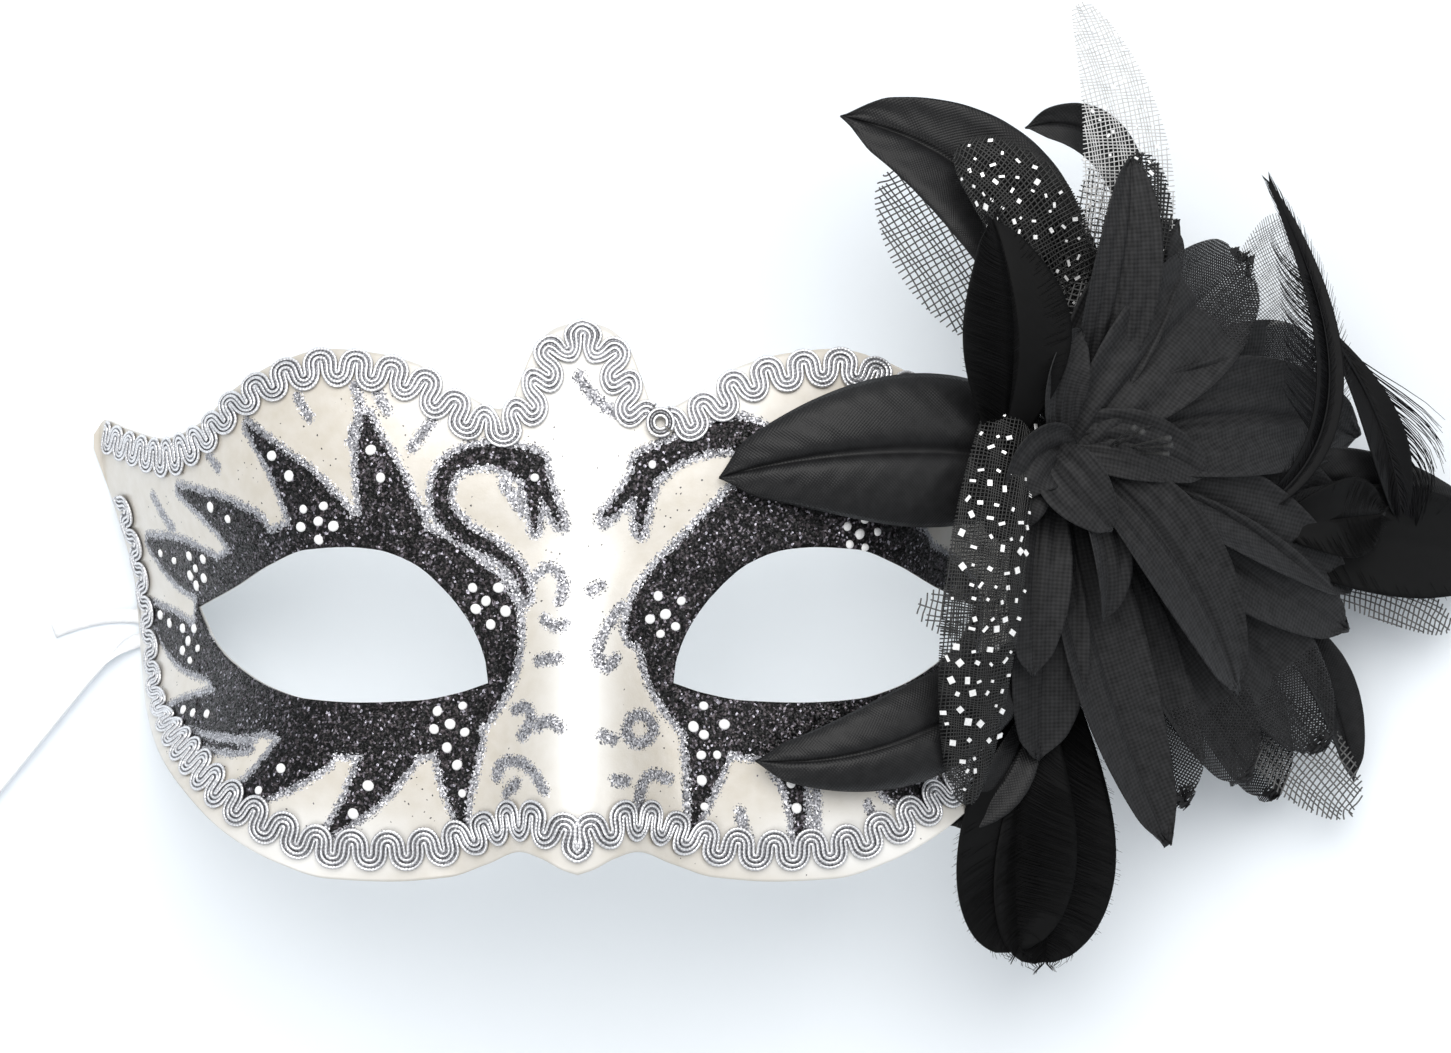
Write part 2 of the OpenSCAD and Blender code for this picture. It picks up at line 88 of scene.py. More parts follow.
def join_parts(parts):
    """Points, quads and attributes of several (points, quads, attributes) parts as one."""
    starts = np.cumsum([0] + [len(points) for points, _, _ in parts])
    points = np.concatenate([part[0] for part in parts])
    quads = np.concatenate([np.asarray(part[1]) + start for part, start in zip(parts, starts)])
    return points, quads, {key: np.concatenate([part[2][key] for part in parts]) for key in parts[0][2]}


def piece_of(name, parts, material, slot, *nodes):
    """One piece from several parts, with its finish and the CAD nodes that it is the look of."""
    points, quads, attributes = join_parts(parts)
    return stand_for(build(name, points, [quads], material, **attributes), slot, *nodes)


def lengths_along(path):
    """Distance along a path from its start to each of its points."""
    return np.concatenate([[0], np.cumsum(np.linalg.norm(np.diff(path, axis=0), axis=1))])


def turned(side, over, angle):
    """Two crosswise directions, both turned by an angle in their own plane."""
    return side * np.cos(angle) + over * np.sin(angle), over * np.cos(angle) - side * np.sin(angle)


def tube(path, radius, sides=6, flat=1.0, tilt=None):
    """A closed tube along path; radius may vary, flat squashes it and tilt turns its width."""
    path = np.asarray(path, float)
    n = len(path)
    way = unit(np.gradient(path, axis=0))
    up = np.where(np.abs(way[:, 2:3]) > 0.9, vec(0, 1, 0), vec(0, 0, 1))
    side = unit(np.cross(up, way))
    over = np.cross(way, side)
    if tilt is not None:
        side, over = turned(side, over, np.radians(tilt)[:, None])
    radius = np.broadcast_to(radius, (n,))[:, None]
    angle = np.arange(sides) * 2 * np.pi / sides + np.pi / sides
    rings = [path + (side * np.cos(a) + over * np.sin(a) * flat) * radius for a in angle]
    points = np.stack(rings, 1).reshape(-1, 3)
    i, k = np.meshgrid(np.arange(n - 1), np.arange(sides), indexing="ij")
    a, b = i * sides + k, i * sides + (k + 1) % sides
    quads = np.stack([a, b, b + sides, a + sides], -1).reshape(-1, 4)
    ends = [points, path[:1], path[-1:]]
    first, last = len(points), len(points) + 1
    k = np.arange(0, sides, 2)
    top = (n - 1) * sides
    caps = np.concatenate([
        np.stack([np.full(len(k), first), (k + 2) % sides, (k + 1) % sides, k], 1),
        np.stack([np.full(len(k), last), top + k, top + (k + 1) % sides, top + (k + 2) % sides], 1)])
    length = lengths_along(path)
    along = np.concatenate([np.repeat(length, sides), length[:1], length[-1:]])
    around = np.concatenate([np.tile(np.sin(angle), n), [0, 0]])
    return np.concatenate(ends), np.concatenate([quads, caps]), {"along": along, "around": around}


def sheet_mesh(surface, thickness, cloth, **extra):
    """A closed thin sheet round a grid of points (rows, cols, 3), with its cloth coordinates."""
    rows, cols = surface.shape[:2]
    across = np.gradient(surface, axis=1)
    along = np.gradient(surface, axis=0)
    normal = unit(np.cross(across, along))
    upper = (surface + normal * thickness / 2).reshape(-1, 3)
    lower = (surface - normal * thickness / 2).reshape(-1, 3)
    n = rows * cols
    g = np.arange(n).reshape(rows, cols)
    top = np.stack([g[:-1, :-1], g[:-1, 1:], g[1:, 1:], g[1:, :-1]], -1).reshape(-1, 4)
    edges = [
        np.stack([g[0, 1:], g[0, :-1], g[0, :-1] + n, g[0, 1:] + n], -1),
        np.stack([g[-1, :-1], g[-1, 1:], g[-1, 1:] + n, g[-1, :-1] + n], -1),
        np.stack([g[:-1, 0], g[1:, 0], g[1:, 0] + n, g[:-1, 0] + n], -1),
        np.stack([g[1:, -1], g[:-1, -1], g[:-1, -1] + n, g[1:, -1] + n], -1)]
    quads = np.concatenate([top, top[:, ::-1] + n] + edges)
    attrs = {"cloth": np.tile(cloth.reshape(-1, 3), (2, 1))}
    attrs.update({k: np.tile(v.ravel(), 2) for k, v in extra.items()})
    return np.concatenate([upper, lower]), quads, attrs


def ripple(u, v, waves, seed, scale=1.0):
    """Smooth irregular waves over a surface, from a few seeded sines."""
    own = np.random.default_rng(seed)
    total = np.zeros(np.broadcast(u, v).shape)
    for _ in range(waves):
        a, b = own.normal(0, 3.2 * scale), own.normal(0, 2.2 * scale)
        total = total + np.sin(a * u + b * v + own.uniform(0, 6.28)) * own.uniform(0.4, 1)
    return total / waves


# ---- node materials


def opaque(value):
    """A colour of three numbers gets its alpha, and anything else stays as it is."""
    return (*value, 1) if isinstance(value, tuple) and len(value) == 3 else value


class Nodes:
    """Short calls for building one node material."""

    def __init__(self, name):
        self.material = bpy.data.materials.new(name)
        self.material.use_nodes = True
        self.tree = self.material.node_tree
        self.shader = next(n for n in self.tree.nodes if n.type == "BSDF_PRINCIPLED")

    def add(self, kind, **settings):
        node = self.tree.nodes.new(kind)
        for key, value in settings.items():
            setattr(node, key, value)
        return node

    def link(self, source, target):
        if hasattr(source, "is_output"):
            self.tree.links.new(source, target)
        else:
            target.default_value = source

    def math(self, operation, *values):
        node = self.add("ShaderNodeMath", operation=operation)
        for value, socket in zip(values, node.inputs):
            self.link(value, socket)
        return node.outputs[0]

    def vector(self, operation, a, b=None, scale=None):
        node = self.add("ShaderNodeVectorMath", operation=operation)
        self.link(a, node.inputs[0])
        if b is not None:
            self.link(b, node.inputs[1])
        if scale is not None:
            self.link(scale, node.inputs["Scale"])
        return node.outputs["Value"] if operation in ("LENGTH", "DOT_PRODUCT") else node.outputs[0]

    def attribute(self, name, output="Fac"):
        return self.add("ShaderNodeAttribute", attribute_name=name).outputs[output]

    def place(self):
        """The point in millimetres."""
        spot = self.add("ShaderNodeNewGeometry").outputs["Position"]
        return self.vector("SCALE", spot, scale=1000.0)

    def noise(self, vector, scale, detail=2.0, rough=0.5):
        node = self.add("ShaderNodeTexNoise")
        self.link(vector, node.inputs["Vector"])
        node.inputs["Scale"].default_value = scale
        node.inputs["Detail"].default_value = detail
        node.inputs["Roughness"].default_value = rough
        return node.outputs["Fac"]

    def cells(self, vector, scale):
        """Random colour of each grain, as three separate numbers and one vector."""
        node = self.add("ShaderNodeTexVoronoi")
        self.link(vector, node.inputs["Vector"])
        node.inputs["Scale"].default_value = scale
        split = self.add("ShaderNodeSeparateColor")
        self.link(node.outputs["Color"], split.inputs[0])
        return split.outputs[0], split.outputs[1], split.outputs[2], node.outputs["Color"]

    def ramp(self, value, stops, step=False):
        node = self.add("ShaderNodeValToRGB")
        self.link(value, node.inputs[0])
        node.color_ramp.interpolation = "CONSTANT" if step else "LINEAR"
        while len(node.color_ramp.elements) < len(stops):
            node.color_ramp.elements.new(0.5)
        for element, (at, colour) in zip(node.color_ramp.elements, stops):
            element.position = at
            element.color = opaque(colour)
        return node.outputs[0]

    def mix(self, share, a, b):
        node = self.add("ShaderNodeMix", data_type="RGBA")
        self.link(share, node.inputs[0])
        for value, socket in ((a, node.inputs[6]), (b, node.inputs[7])):
            self.link(opaque(value), socket)
        return node.outputs[2]

    def bump(self, height, distance, strength=1.0, normal=None):
        node = self.add("ShaderNodeBump")
        self.link(height, node.inputs["Height"])
        node.inputs["Distance"].default_value = distance * MM
        node.inputs["Strength"].default_value = strength
        if normal is not None:
            self.link(normal, node.inputs["Normal"])
        return node.outputs[0]

    def set(self, **inputs):
        """Links or sets sockets of the shader, by their names with underscores."""
        for key, value in inputs.items():
            self.link(opaque(value), self.shader.inputs[key.replace("_", " ")])
        return self.material


def grey(value, blue=0.0):
    return (value, value, value * (1 + blue))


BLACK_GRAIN, SILVER_GRAIN = 2.3, 3.4  # glitter grains for each millimetre
CREAM = [(0.3, (0.58, 0.535, 0.46)), (0.7, (0.64, 0.60, 0.54))]
# White of the painted highlights on the cream, and the colour of the inner face
PAINTED_HIGHLIGHT_WHITE, INNER_FACE = (0.87, 0.87, 0.86), (0.80, 0.78, 0.74)
SOOT = [(0.0, grey(0.004)), (0.45, grey(0.012, 0.1)), (0.70, (0.045, 0.038, 0.042)),
    (0.88, (0.14, 0.125, 0.145)), (0.975, (0.42, 0.40, 0.46))]
LEAFING = [(0.0, grey(0.12, 0.08)), (0.12, grey(0.26, 0.08)), (0.42, grey(0.38, 0.07)),
    (0.80, grey(0.66, 0.05))]


def painted(m, name, grains, ragged):
    """1 inside a painted area, whose edge is as ragged as its grains."""
    edge = m.math("MULTIPLY_ADD", grains, ragged, -0.45)
    return m.math("GREATER_THAN", m.math("ADD", m.attribute(name), edge), 0.0)


def pearl_paint():
    """Pearl cream lacquer with black and silver glitter painted on it, white painted highlights on the
    cream, and a matt inner face.
    """
    m = Nodes("pearl_paint")
    spot = m.place()
    black_edge, black_tone, _, facets = m.cells(spot, BLACK_GRAIN)
    aside = m.vector("ADD", spot, (31.0, 17.0, 5.0))
    silver_edge, stray, silver_tone, flakes = m.cells(aside, SILVER_GRAIN)
    black = painted(m, "black", black_edge, 0.9)
    silver = painted(m, "silver", silver_edge, 1.0)
    inside = m.attribute("inside")
    near = m.math("GREATER_THAN", m.attribute("black"), -7.0)
    speck = m.math("MULTIPLY", m.math("GREATER_THAN", stray, 0.9965), near)
    tint = m.ramp(m.noise(spot, 0.35, 3.0), CREAM)
    # Painted highlight: the cream is mixed towards white over the highlight patches
    tint = m.mix(m.math("MULTIPLY", m.attribute("painted_highlight"), 0.9), tint, PAINTED_HIGHLIGHT_WHITE)
    colour = m.mix(silver, tint, m.ramp(silver_tone, LEAFING, True))
    colour = m.mix(m.math("MAXIMUM", black, speck), colour, m.ramp(black_tone, SOOT, True))
    colour = m.mix(inside, colour, INNER_FACE)
    glitter = m.math("MULTIPLY", m.math("MAXIMUM", black, silver), m.math("SUBTRACT", 1.0, inside))
    bare = m.math("SUBTRACT", 1.0, glitter)
    facing = m.vector("SUBTRACT", m.mix(silver, facets, flakes), (0.5, 0.5, 0.5))
    tilt = m.vector("SCALE", facing, scale=m.math("MULTIPLY", glitter, 0.8))
    brush = m.bump(m.noise(spot, 1.6, 4.0), 0.05, 0.5)
    normal = m.vector("NORMALIZE", m.vector("ADD", brush, tilt))
    metal = m.math("MULTIPLY", glitter, m.math("MULTIPLY_ADD", silver, 0.35, 0.3))
    rough = m.math("MULTIPLY_ADD", inside, 0.4, m.math("MULTIPLY_ADD", bare, -0.06, 0.36))
    gloss = m.math("MULTIPLY", bare, m.math("SUBTRACT", 0.8, m.math("MULTIPLY", inside, 0.8)))
    return m.set(Base_Color=colour, Metallic=metal, Roughness=rough, Normal=normal, Coat_Weight=gloss,
                 Coat_Roughness=0.3)


def gimp_thread():
    """Silver lurex over a cord, with fine twist lines, a painted highlight on top and painted shade on
    flanks and filler cords.
    """
    m = Nodes("gimp_thread")
    twist = m.math("ADD", m.math("MULTIPLY", m.attribute("along"), 9.0),
                   m.math("MULTIPLY", m.attribute("around"), 1.6))
    wrap = m.math("MULTIPLY_ADD", m.math("SINE", twist), 0.5, 0.5)
    # Painted highlight and shade: each cord is lighter on its top and darker on its flanks
    crown = m.math("MULTIPLY_ADD", m.attribute("around"), 0.5, 0.5)
    spark = m.cells(m.place(), 2.6)[0]
    tone = m.math("MULTIPLY_ADD", spark, 0.22, m.math("MULTIPLY_ADD", crown, 0.8, -0.08))
    # Painted shade: the filler cords between the silver ones are darker
    tone = m.math("MULTIPLY_ADD", m.attribute("core"), -0.52, tone)
    colour = m.ramp(m.math("MULTIPLY_ADD", wrap, 0.12, tone),
                    [(0.10, grey(0.05, 0.1)), (0.40, grey(0.26, 0.06)), (0.68, grey(0.62, 0.04)),
                     (0.9, grey(0.93, 0.02))])
    return m.set(Base_Color=colour, Metallic=0.75, Roughness=0.3, Normal=m.bump(wrap, 0.06, 0.7))


def cloth_coordinates(m):
    split = m.add("ShaderNodeSeparateXYZ")
    m.link(m.attribute("cloth", "Vector"), split.inputs[0])
    return split.outputs[0], split.outputs[1]


def weave(m, across, along, pitch):
    """Over-and-under height of a plain weave, 0 to 1."""
    k = math.pi / pitch
    a = m.math("SINE", m.math("MULTIPLY", across, k))
    b = m.math("SINE", m.math("MULTIPLY", along, k))
    return m.math("MULTIPLY_ADD", m.math("MULTIPLY", a, b), 0.5, 0.5)


def woven_cloth(name, dark, light, pitch, rough, sheen, vein=0.0):
    """Woven cloth whose raised weave is painted paler as highlight, over random slub, with thinner
    see-through ends where sheer is high.
    """
    m = Nodes(name)
    across, along = cloth_coordinates(m)
    knit = weave(m, across, along, pitch)
    slub = m.noise(m.attribute("cloth", "Vector"), 0.5, 4.0, 0.6)
    # Painted highlight: colour is paler where the weave is raised, plus random slub tone
    tone = m.math("MULTIPLY_ADD", knit, 0.4, m.math("MULTIPLY", slub, 0.75))
    colour = m.ramp(tone, [(0.2, dark), (0.85, light)])
    grid = m.math("MAXIMUM", threads(m, across, pitch, 0.42), threads(m, along, pitch, 0.42))
    sheer = m.attribute("sheer")
    hole = m.math("MULTIPLY", m.math("SUBTRACT", 1.0, grid), m.math("GREATER_THAN", sheer, 0.35))
    alpha = m.math("SUBTRACT", 1.0, m.math("MULTIPLY", hole, m.math("MINIMUM", 1.0,
                   m.math("MULTIPLY", sheer, 1.1))))
    ribs = m.math("ABSOLUTE", m.math("SINE", m.math("MULTIPLY", across, 1.1)))
    height = m.math("ADD", knit, m.math("MULTIPLY", ribs, vein))
    return m.set(Base_Color=colour, Roughness=rough, Sheen_Weight=sheen, Sheen_Roughness=0.45,
                 Sheen_Tint=(0.8, 0.82, 0.9), Specular_IOR_Level=0.22, Alpha=alpha,
                 Normal=m.bump(height, 0.09, 0.6))


def threads(m, value, pitch, share):
    """1 on the threads that repeat every pitch along value."""
    wave = m.math("FRACT", m.math("DIVIDE", m.math("ADD", value, 500.0 * pitch), pitch))
    return m.math("LESS_THAN", wave, share)


def feather_barb(name, dark, light, rough):
    """Dyed barbs: near black with a faint sheen that changes from barb to barb."""
    m = Nodes(name)
    tone = m.math("ADD", m.math("MULTIPLY", m.attribute("shade"), 0.7),
                  m.math("MULTIPLY", m.noise(m.place(), 0.4, 3.0), 0.4))
    colour = m.ramp(tone, [(0.15, dark), (0.95, light)])
    hairs = m.math("SINE", m.math("MULTIPLY", m.attribute("along"), 30.0))
    return m.set(Base_Color=colour, Roughness=rough, Specular_IOR_Level=0.14,
                 Normal=m.bump(hairs, 0.03, 0.4))


def satin_ribbon():
    """White satin: fine warp lines and a soft gloss."""
    m = Nodes("white_satin")
    lines = m.math("SINE", m.math("MULTIPLY", m.attribute("along"), 18.0))
    tint = m.ramp(m.noise(m.place(), 0.5), [(0.3, (0.86, 0.88, 0.91)), (0.7, (0.95, 0.96, 0.97))])
    return m.set(Base_Color=tint, Roughness=0.34, Sheen_Weight=0.3, Normal=m.bump(lines, 0.03, 0.4))


def mottled(name, noise, dark, light, bump=None, light_at=0.7, **finish):
    """A material whose one noise, with its scale, detail and roughness, sets its colour and bump."""
    m = Nodes(name)
    tone = m.noise(m.place(), *noise)
    if bump:
        finish["Normal"] = m.bump(tone, *bump)
    return m.set(Base_Color=m.ramp(tone, [(0.3, dark), (light_at, light)]), **finish)


def felt_cloth(name, dark, light):
    """Matted fibres."""
    return mottled(name, (3.0, 6.0, 0.75), dark, light, (0.35, 0.9), Roughness=0.95, Sheen_Weight=0.4,
                   Sheen_Roughness=0.6)


def foil():
    """Silver foil flecks, slightly crinkled."""
    return mottled("silver_foil", (2.0, 2.0), grey(0.80), grey(0.97), (0.2, 0.5), 0.6, Metallic=0.35,
                   Roughness=0.4)


def wrapped_tape():
    """Dark floral tape wound round the stems."""
    return mottled("floral_tape", (1.2, 5.0, 0.7), grey(0.012), grey(0.045), (0.2, 0.8), Roughness=0.7)


def dot_paint():
    """Thick white paint, not quite even."""
    return mottled("dot_paint", (1.2, 3.0), grey(0.86), grey(0.95), (0.1, 0.5), Roughness=0.4)


def thread_nylon(name, dark, light):
    """Dyed nylon thread with a slight gloss."""
    return mottled(name, (0.8, 3.0), dark, light, Roughness=0.5)


def pale_floor():
    """A pale, faintly blue floor."""
    return mottled("pale_floor", (0.004, 2.0), (0.87, 0.915, 0.965), (0.89, 0.935, 0.98), Roughness=0.85,
                   Specular_IOR_Level=0.2)


# ---- camera, floor and light


CAMERA_AT, LENS = vec(28.2, 19.5, 900), 105.44
SKY, SKY_COLOUR, LAMP_COLOUR = 0.53, (0.93, 0.965, 1.0), (1.0, 0.985, 0.96)
# Name, place and diameter in metres, and power in watts; each lamp faces the origin
LIGHTS = [
    ("softbox_top", (0.0, 0.78, 1.38), 1.45, 22.0),
    ("softbox_front", (-0.9, -1.0, 1.1), 0.9, 6.5),
    ("softbox_right", (1.3, 0.1, 0.9), 0.8, 3.0)]


def overhead_camera():
    """Straight above the mask, with its top towards +Y."""
    camera = bpy.data.objects.new("camera", bpy.data.cameras.new("camera"))
    bpy.context.scene.collection.objects.link(camera)
    camera.location = CAMERA_AT * MM
    camera.data.lens = LENS
    camera.data.clip_end = 20
    bpy.context.scene.camera = camera


def softbox(name, place, size, power):
    """A round soft lamp that faces the origin."""
    lamp = bpy.data.lights.new(name, "AREA")
    lamp.shape = "DISK"
    lamp.size = size
    lamp.energy = power
    lamp.color = LAMP_COLOUR
    holder = bpy.data.objects.new(name, lamp)
    bpy.context.scene.collection.objects.link(holder)
    holder.location = place
    aim = -holder.location
    holder.rotation_euler = aim.to_track_quat("-Z", "Y").to_euler()


def studio():
    """A pale floor under soft white light, brightest above the forehead."""
    bpy.ops.mesh.primitive_plane_add(size=6, location=(0, 0, -0.0002))
    floor = bpy.context.object
    floor.name = "floor"
    floor.data.materials.append(pale_floor())
    scene = bpy.context.scene
    scene.view_settings.view_transform = "Standard"
    scene.world = scene.world or bpy.data.worlds.new("world")
    scene.world.use_nodes = True
    sky = scene.world.node_tree.nodes["Background"]
    sky.inputs[0].default_value = opaque(SKY_COLOUR)
    sky.inputs[1].default_value = SKY
    for row in LIGHTS:
        softbox(*row)


overhead_camera()
studio()

# ---- ribbons

RIBBON_W, RIBBON_T = 3.0, 0.5
# A tube of eight sides, with the ribbon's width across its flats
RIBBON_SIDES, RIBBON_CORNER = 8, RIBBON_W * 0.54
# Routes: x, y and z in millimetres, and how far the ribbon is turned on edge, in degrees
MAIN_ROUTE = np.array([
    (-87.8, -4, 7.6, 0), (-89.2, -4, 5.3, 0), (-90.7, -4, 3.2, 0), (-92.4, -4, 1.7, 0),
    (-94.3, -4.2, 0.8, 0), (-96.4, -4.7, 0.6, 8), (-98.4, -5.6, 1, 30), (-100.4, -7, 1.5, 60),
    (-102.6, -9.2, 1.75, 85), (-106, -13, 1.8, 90), (-110, -17.9, 1.8, 90), (-114, -22.8, 1.8, 90),
    (-118, -27.7, 1.8, 90), (-122, -32.6, 1.8, 90), (-125.5, -36.9, 1.8, 90), (-127.5, -39.3, 1.8, 90)])
TAIL_ROUTE = np.array([
    (-87.6, 0.3, 8, 0), (-89.1, 0.3, 5.4, 0), (-90.6, 0.3, 3.3, 0), (-92.3, 0.3, 1.7, 0),
    (-94.4, 0.4, 0.75, 0), (-97, 0.6, 0.4, 0), (-100, 0.7, 0.35, 0), (-103, 0.5, 0.35, 0),
    (-106, 0, 0.35, 0), (-109, -0.8, 0.35, 0), (-112, -1.8, 0.35, 0), (-114, -2.6, 0.35, 0)])
COIL_AT = vec(-149.7, -32.5, 1.8)
COIL_R, COIL_TURNS, COIL_PITCH, COIL_START, TURN_POINTS = 21.5, 3.4, 3.0, -38.9, 32


def coiled_route():
    """The main ribbon's route, wound clockwise into its storage coil."""
    angle = np.radians(COIL_START - 360 * np.linspace(0, COIL_TURNS, int(COIL_TURNS * TURN_POINTS)))
    radius = COIL_R - COIL_PITCH * np.linspace(0, COIL_TURNS, len(angle))
    coil = np.stack([COIL_AT[0] + radius * np.cos(angle), COIL_AT[1] + radius * np.sin(angle),
                     np.full(len(angle), COIL_AT[2]), np.full(len(angle), 90.0)], 1)
    lead = np.linspace(MAIN_ROUTE[-1], coil[0], 4)[1:-1]
    return np.concatenate([MAIN_ROUTE, lead, coil])


def finer(route, gap=1.0):
    """The same route in short even steps, so that a bend in it looks round."""
    length = lengths_along(route[:, :3])
    at = np.linspace(0, length[-1], max(int(length[-1] / gap), 2))
    return np.stack([np.interp(at, length, route[:, k]) for k in range(route.shape[1])], 1)


def ribbon(name, route, nodes):
    """A satin tape along a route."""
    route = finer(route)
    path = route[:, :3]
    tape = tube(path, RIBBON_CORNER, RIBBON_SIDES, RIBBON_T / RIBBON_W, route[:, 3])
    obj = piece_of(name, [tape], WHITE_SATIN, "white_satin", *nodes)


def dress(node, material):
    """A CAD node that keeps its shape gets its finish."""
    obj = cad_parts[node]
    obj.data.materials.clear()
    obj.data.materials.append(material)


WHITE_SATIN = satin_ribbon()
WHITE_FELT = felt_cloth("white_felt", grey(0.70), grey(0.86))
BLACK_FELT = felt_cloth("black_felt", grey(0.010), grey(0.03))
dress("ribbon_patch", WHITE_FELT)
dress("felt_pad", BLACK_FELT)
dress("ribbon_coil_tie", WHITE_SATIN)
ribbon("satin_ribbon_left", coiled_route(), ["left_ribbon", "left_ribbon_coil"])
ribbon("satin_ribbon_left_tail", TAIL_ROUTE, ["left_ribbon_tail"])

# ---- the shell's surface

CROWN_H, WALL, NOSE_H, TEMPLE_DROP, RELIEF_H, RIM_MIN = 73.0, 1.8, 19.0, 15.6, 1.2, 0.6
# Right half of each edge, and of the right eye's lids, as points x, y in millimetres
BROW = [(0, 60), (5, 58.5), (9, 55), (12, 48), (14, 43), (16, 42.5), (22, 45), (30, 50.5), (40, 53.5),
    (50, 54.5), (60, 52), (70, 46.5), (77, 40.5), (86, 37.5), (97, 40), (103, 42), (105.5, 39)]
CHEEK = [(0, -47), (3, -46), (7, -44), (11, -43), (18, -46), (26, -49), (38, -50), (50, -49.5),
    (60, -46.5), (70, -41.5), (80, -34), (88, -26.5), (93, -18), (95.5, -6), (96.5, 7), (100, 20.5),
    (105.5, 36)]
LID_UP = [(18, -11), (18.5, -7), (21, -0.5), (26, 6.5), (33, 12.5), (40, 15), (46, 15.5), (54, 15),
    (62, 12), (70, 7.5), (79.5, 3)]
LID_LOW = [(18, -11), (24, -13), (32, -14.5), (44, -15), (54, -14.5), (62, -12.5), (70, -8.5),
    (75, -4.5), (79.5, 3)]
EYE_IN, EYE_OUT, TEMPLE_X = LID_UP[0][0], LID_UP[-1][0], BROW[-1][0]


def curve(knots, x):
    """Smooth curve through knots of rising x, level at every crest."""
    p = np.array(knots, float)
    x = np.abs(x)
    chord = np.diff(p[:, 1]) / np.diff(p[:, 0])
    a, b = chord[:-1], chord[1:]
    level = np.where(a * b <= 0, 0, 2 * a * b / np.where(a + b == 0, 1, a + b))
    slope = np.concatenate([chord[:1], level, chord[-1:]])
    i = np.clip(np.searchsorted(p[:, 0], x, side="right") - 1, 0, len(p) - 2)
    w = p[i + 1, 0] - p[i, 0]
    t = (x - p[i, 0]) / w
    return ((1 + 2 * t) * (1 - t) ** 2 * p[i, 1] + t * t * (3 - 2 * t) * p[i + 1, 1]
            + t * (1 - t) ** 2 * slope[i] * w - t * t * (1 - t) * slope[i + 1] * w)


def front(x, y):
    """Height of the shell's face: crown, temple walls, fall towards its edges, eye hollows, nose ridge."""
    x, y = np.abs(x), np.asarray(y, float)
    shoulder = 71.5 - 12 * np.exp(-((y + 4) / np.where(y > -4, 32, 25)) ** 2) + 0.3 * np.maximum(0, -20 - y)
    t = np.clip((18 - y) / 66, 0, 1)
    ridge = NOSE_H * (t * t * (3 - 2 * t)) ** 0.8 * np.exp(-(x / (7.5 + 9.5 * t)) ** 2.6)
    return (CROWN_H - 0.001 * x * x - TEMPLE_DROP * np.log1p(np.exp((x - shoulder) / 9))
            - 0.0055 * np.maximum(0, y - 22) ** 2 - 0.005 * np.maximum(0, -25 - y) ** 2
            - 2.5 * np.exp(-((x - 45) / 24) ** 2 - ((y + 1) / 14) ** 2) + ridge)


def slopes(x, y):
    """How much the face rises in a millimetre along x, and along y."""
    return front(x + 0.5, y) - front(x - 0.5, y), front(x, y + 0.5) - front(x, y - 0.5)


def relief(y):
    """Height of the gap under each temple rim that lets a ribbon out."""
    return RELIEF_H * np.exp(-(np.abs(y + 2) / 5) ** 4)


def top_z(x, y):
    return np.maximum(front(x, y), RIM_MIN + relief(y))


def under_z(x, y):
    gx, gy = slopes(x, y)
    thick = WALL * np.minimum(np.sqrt(gx ** 2 + gy ** 2 + 1), 2.4)
    return np.maximum(top_z(x, y) - thick, np.where(np.abs(x) > 80, relief(y), 0))


def normal_at(x, y):
    gx, gy = slopes(x, y)
    return unit(np.stack([-gx, -gy, np.ones_like(gx)], -1))


def on_shell(x, y, h):
    """Points at height h off the painted face."""
    x, y = np.asarray(x, float), np.asarray(y, float)
    return np.stack([x, y, top_z(x, y)], -1) + np.asarray(h)[..., None] * normal_at(x, y)


# ---- the painted design

# Each brush stroke is a list of points x, y and half width, in millimetres. RING goes round both eyes.
# FLAMES, LEFT_NECK and LEFT_BEAK are written for positive x and painted on the left half.
RING = [(15.5, -8, 2.8), (16, -1, 4.6), (17.5, 4, 5), (21.5, 8, 4.8), (28, 13, 4.6), (35, 17, 3.6),
    (45, 18.5, 3), (55, 17, 3), (63, 14, 4), (71, 10.5, 4), (78, 6, 3.5), (79, -3, 3), (76, -8, 4),
    (68, -14.5, 5.5), (60, -17, 4.5), (50, -19.5, 5), (40, -20, 5.5), (30, -19.5, 5.5), (23, -17, 4.5),
    (18, -13, 3), (15.5, -8, 2.8)]
FLAMES = [
    [(36.5, 18, 6.5), (39.7, 30, 4.2), (41.3, 35, 2.6), (42, 41, 0.6)],
    [(50.5, 19, 6.5), (55, 26, 5), (59, 31, 3), (63, 35.5, 1.6), (66.5, 39.5, 0.5)],
    [(66, 16, 6), (71, 20.5, 4), (76, 23.5, 2.5), (83, 27, 0.5)],
    [(76, 9, 4.5), (83, 11.5, 5), (88, 14, 3.2), (92, 16.5, 0.7)],
    [(77, -7, 4), (84, -4.5, 5), (89, -1, 3.5), (93, 2.5, 0.8)],
    [(66, -16.5, 5.5), (75, -18, 4), (82, -18.5, 2.6), (87, -19, 0.8)],
    [(83, -21.5, 0.4), (77, -24, 0.7), (70, -24.5, 0.6), (66, -24, 0.3)],
    [(53, -23, 5.5), (58, -27, 4.8), (63, -31, 3), (69.5, -34.5, 1)],
    [(37, -24, 5), (40.5, -30, 4), (44, -35, 2.4), (49, -40, 0.6)],
    [(24, -22, 4.5), (24, -28, 3.2), (24, -33, 1.8), (23, -38, 0.5)]]
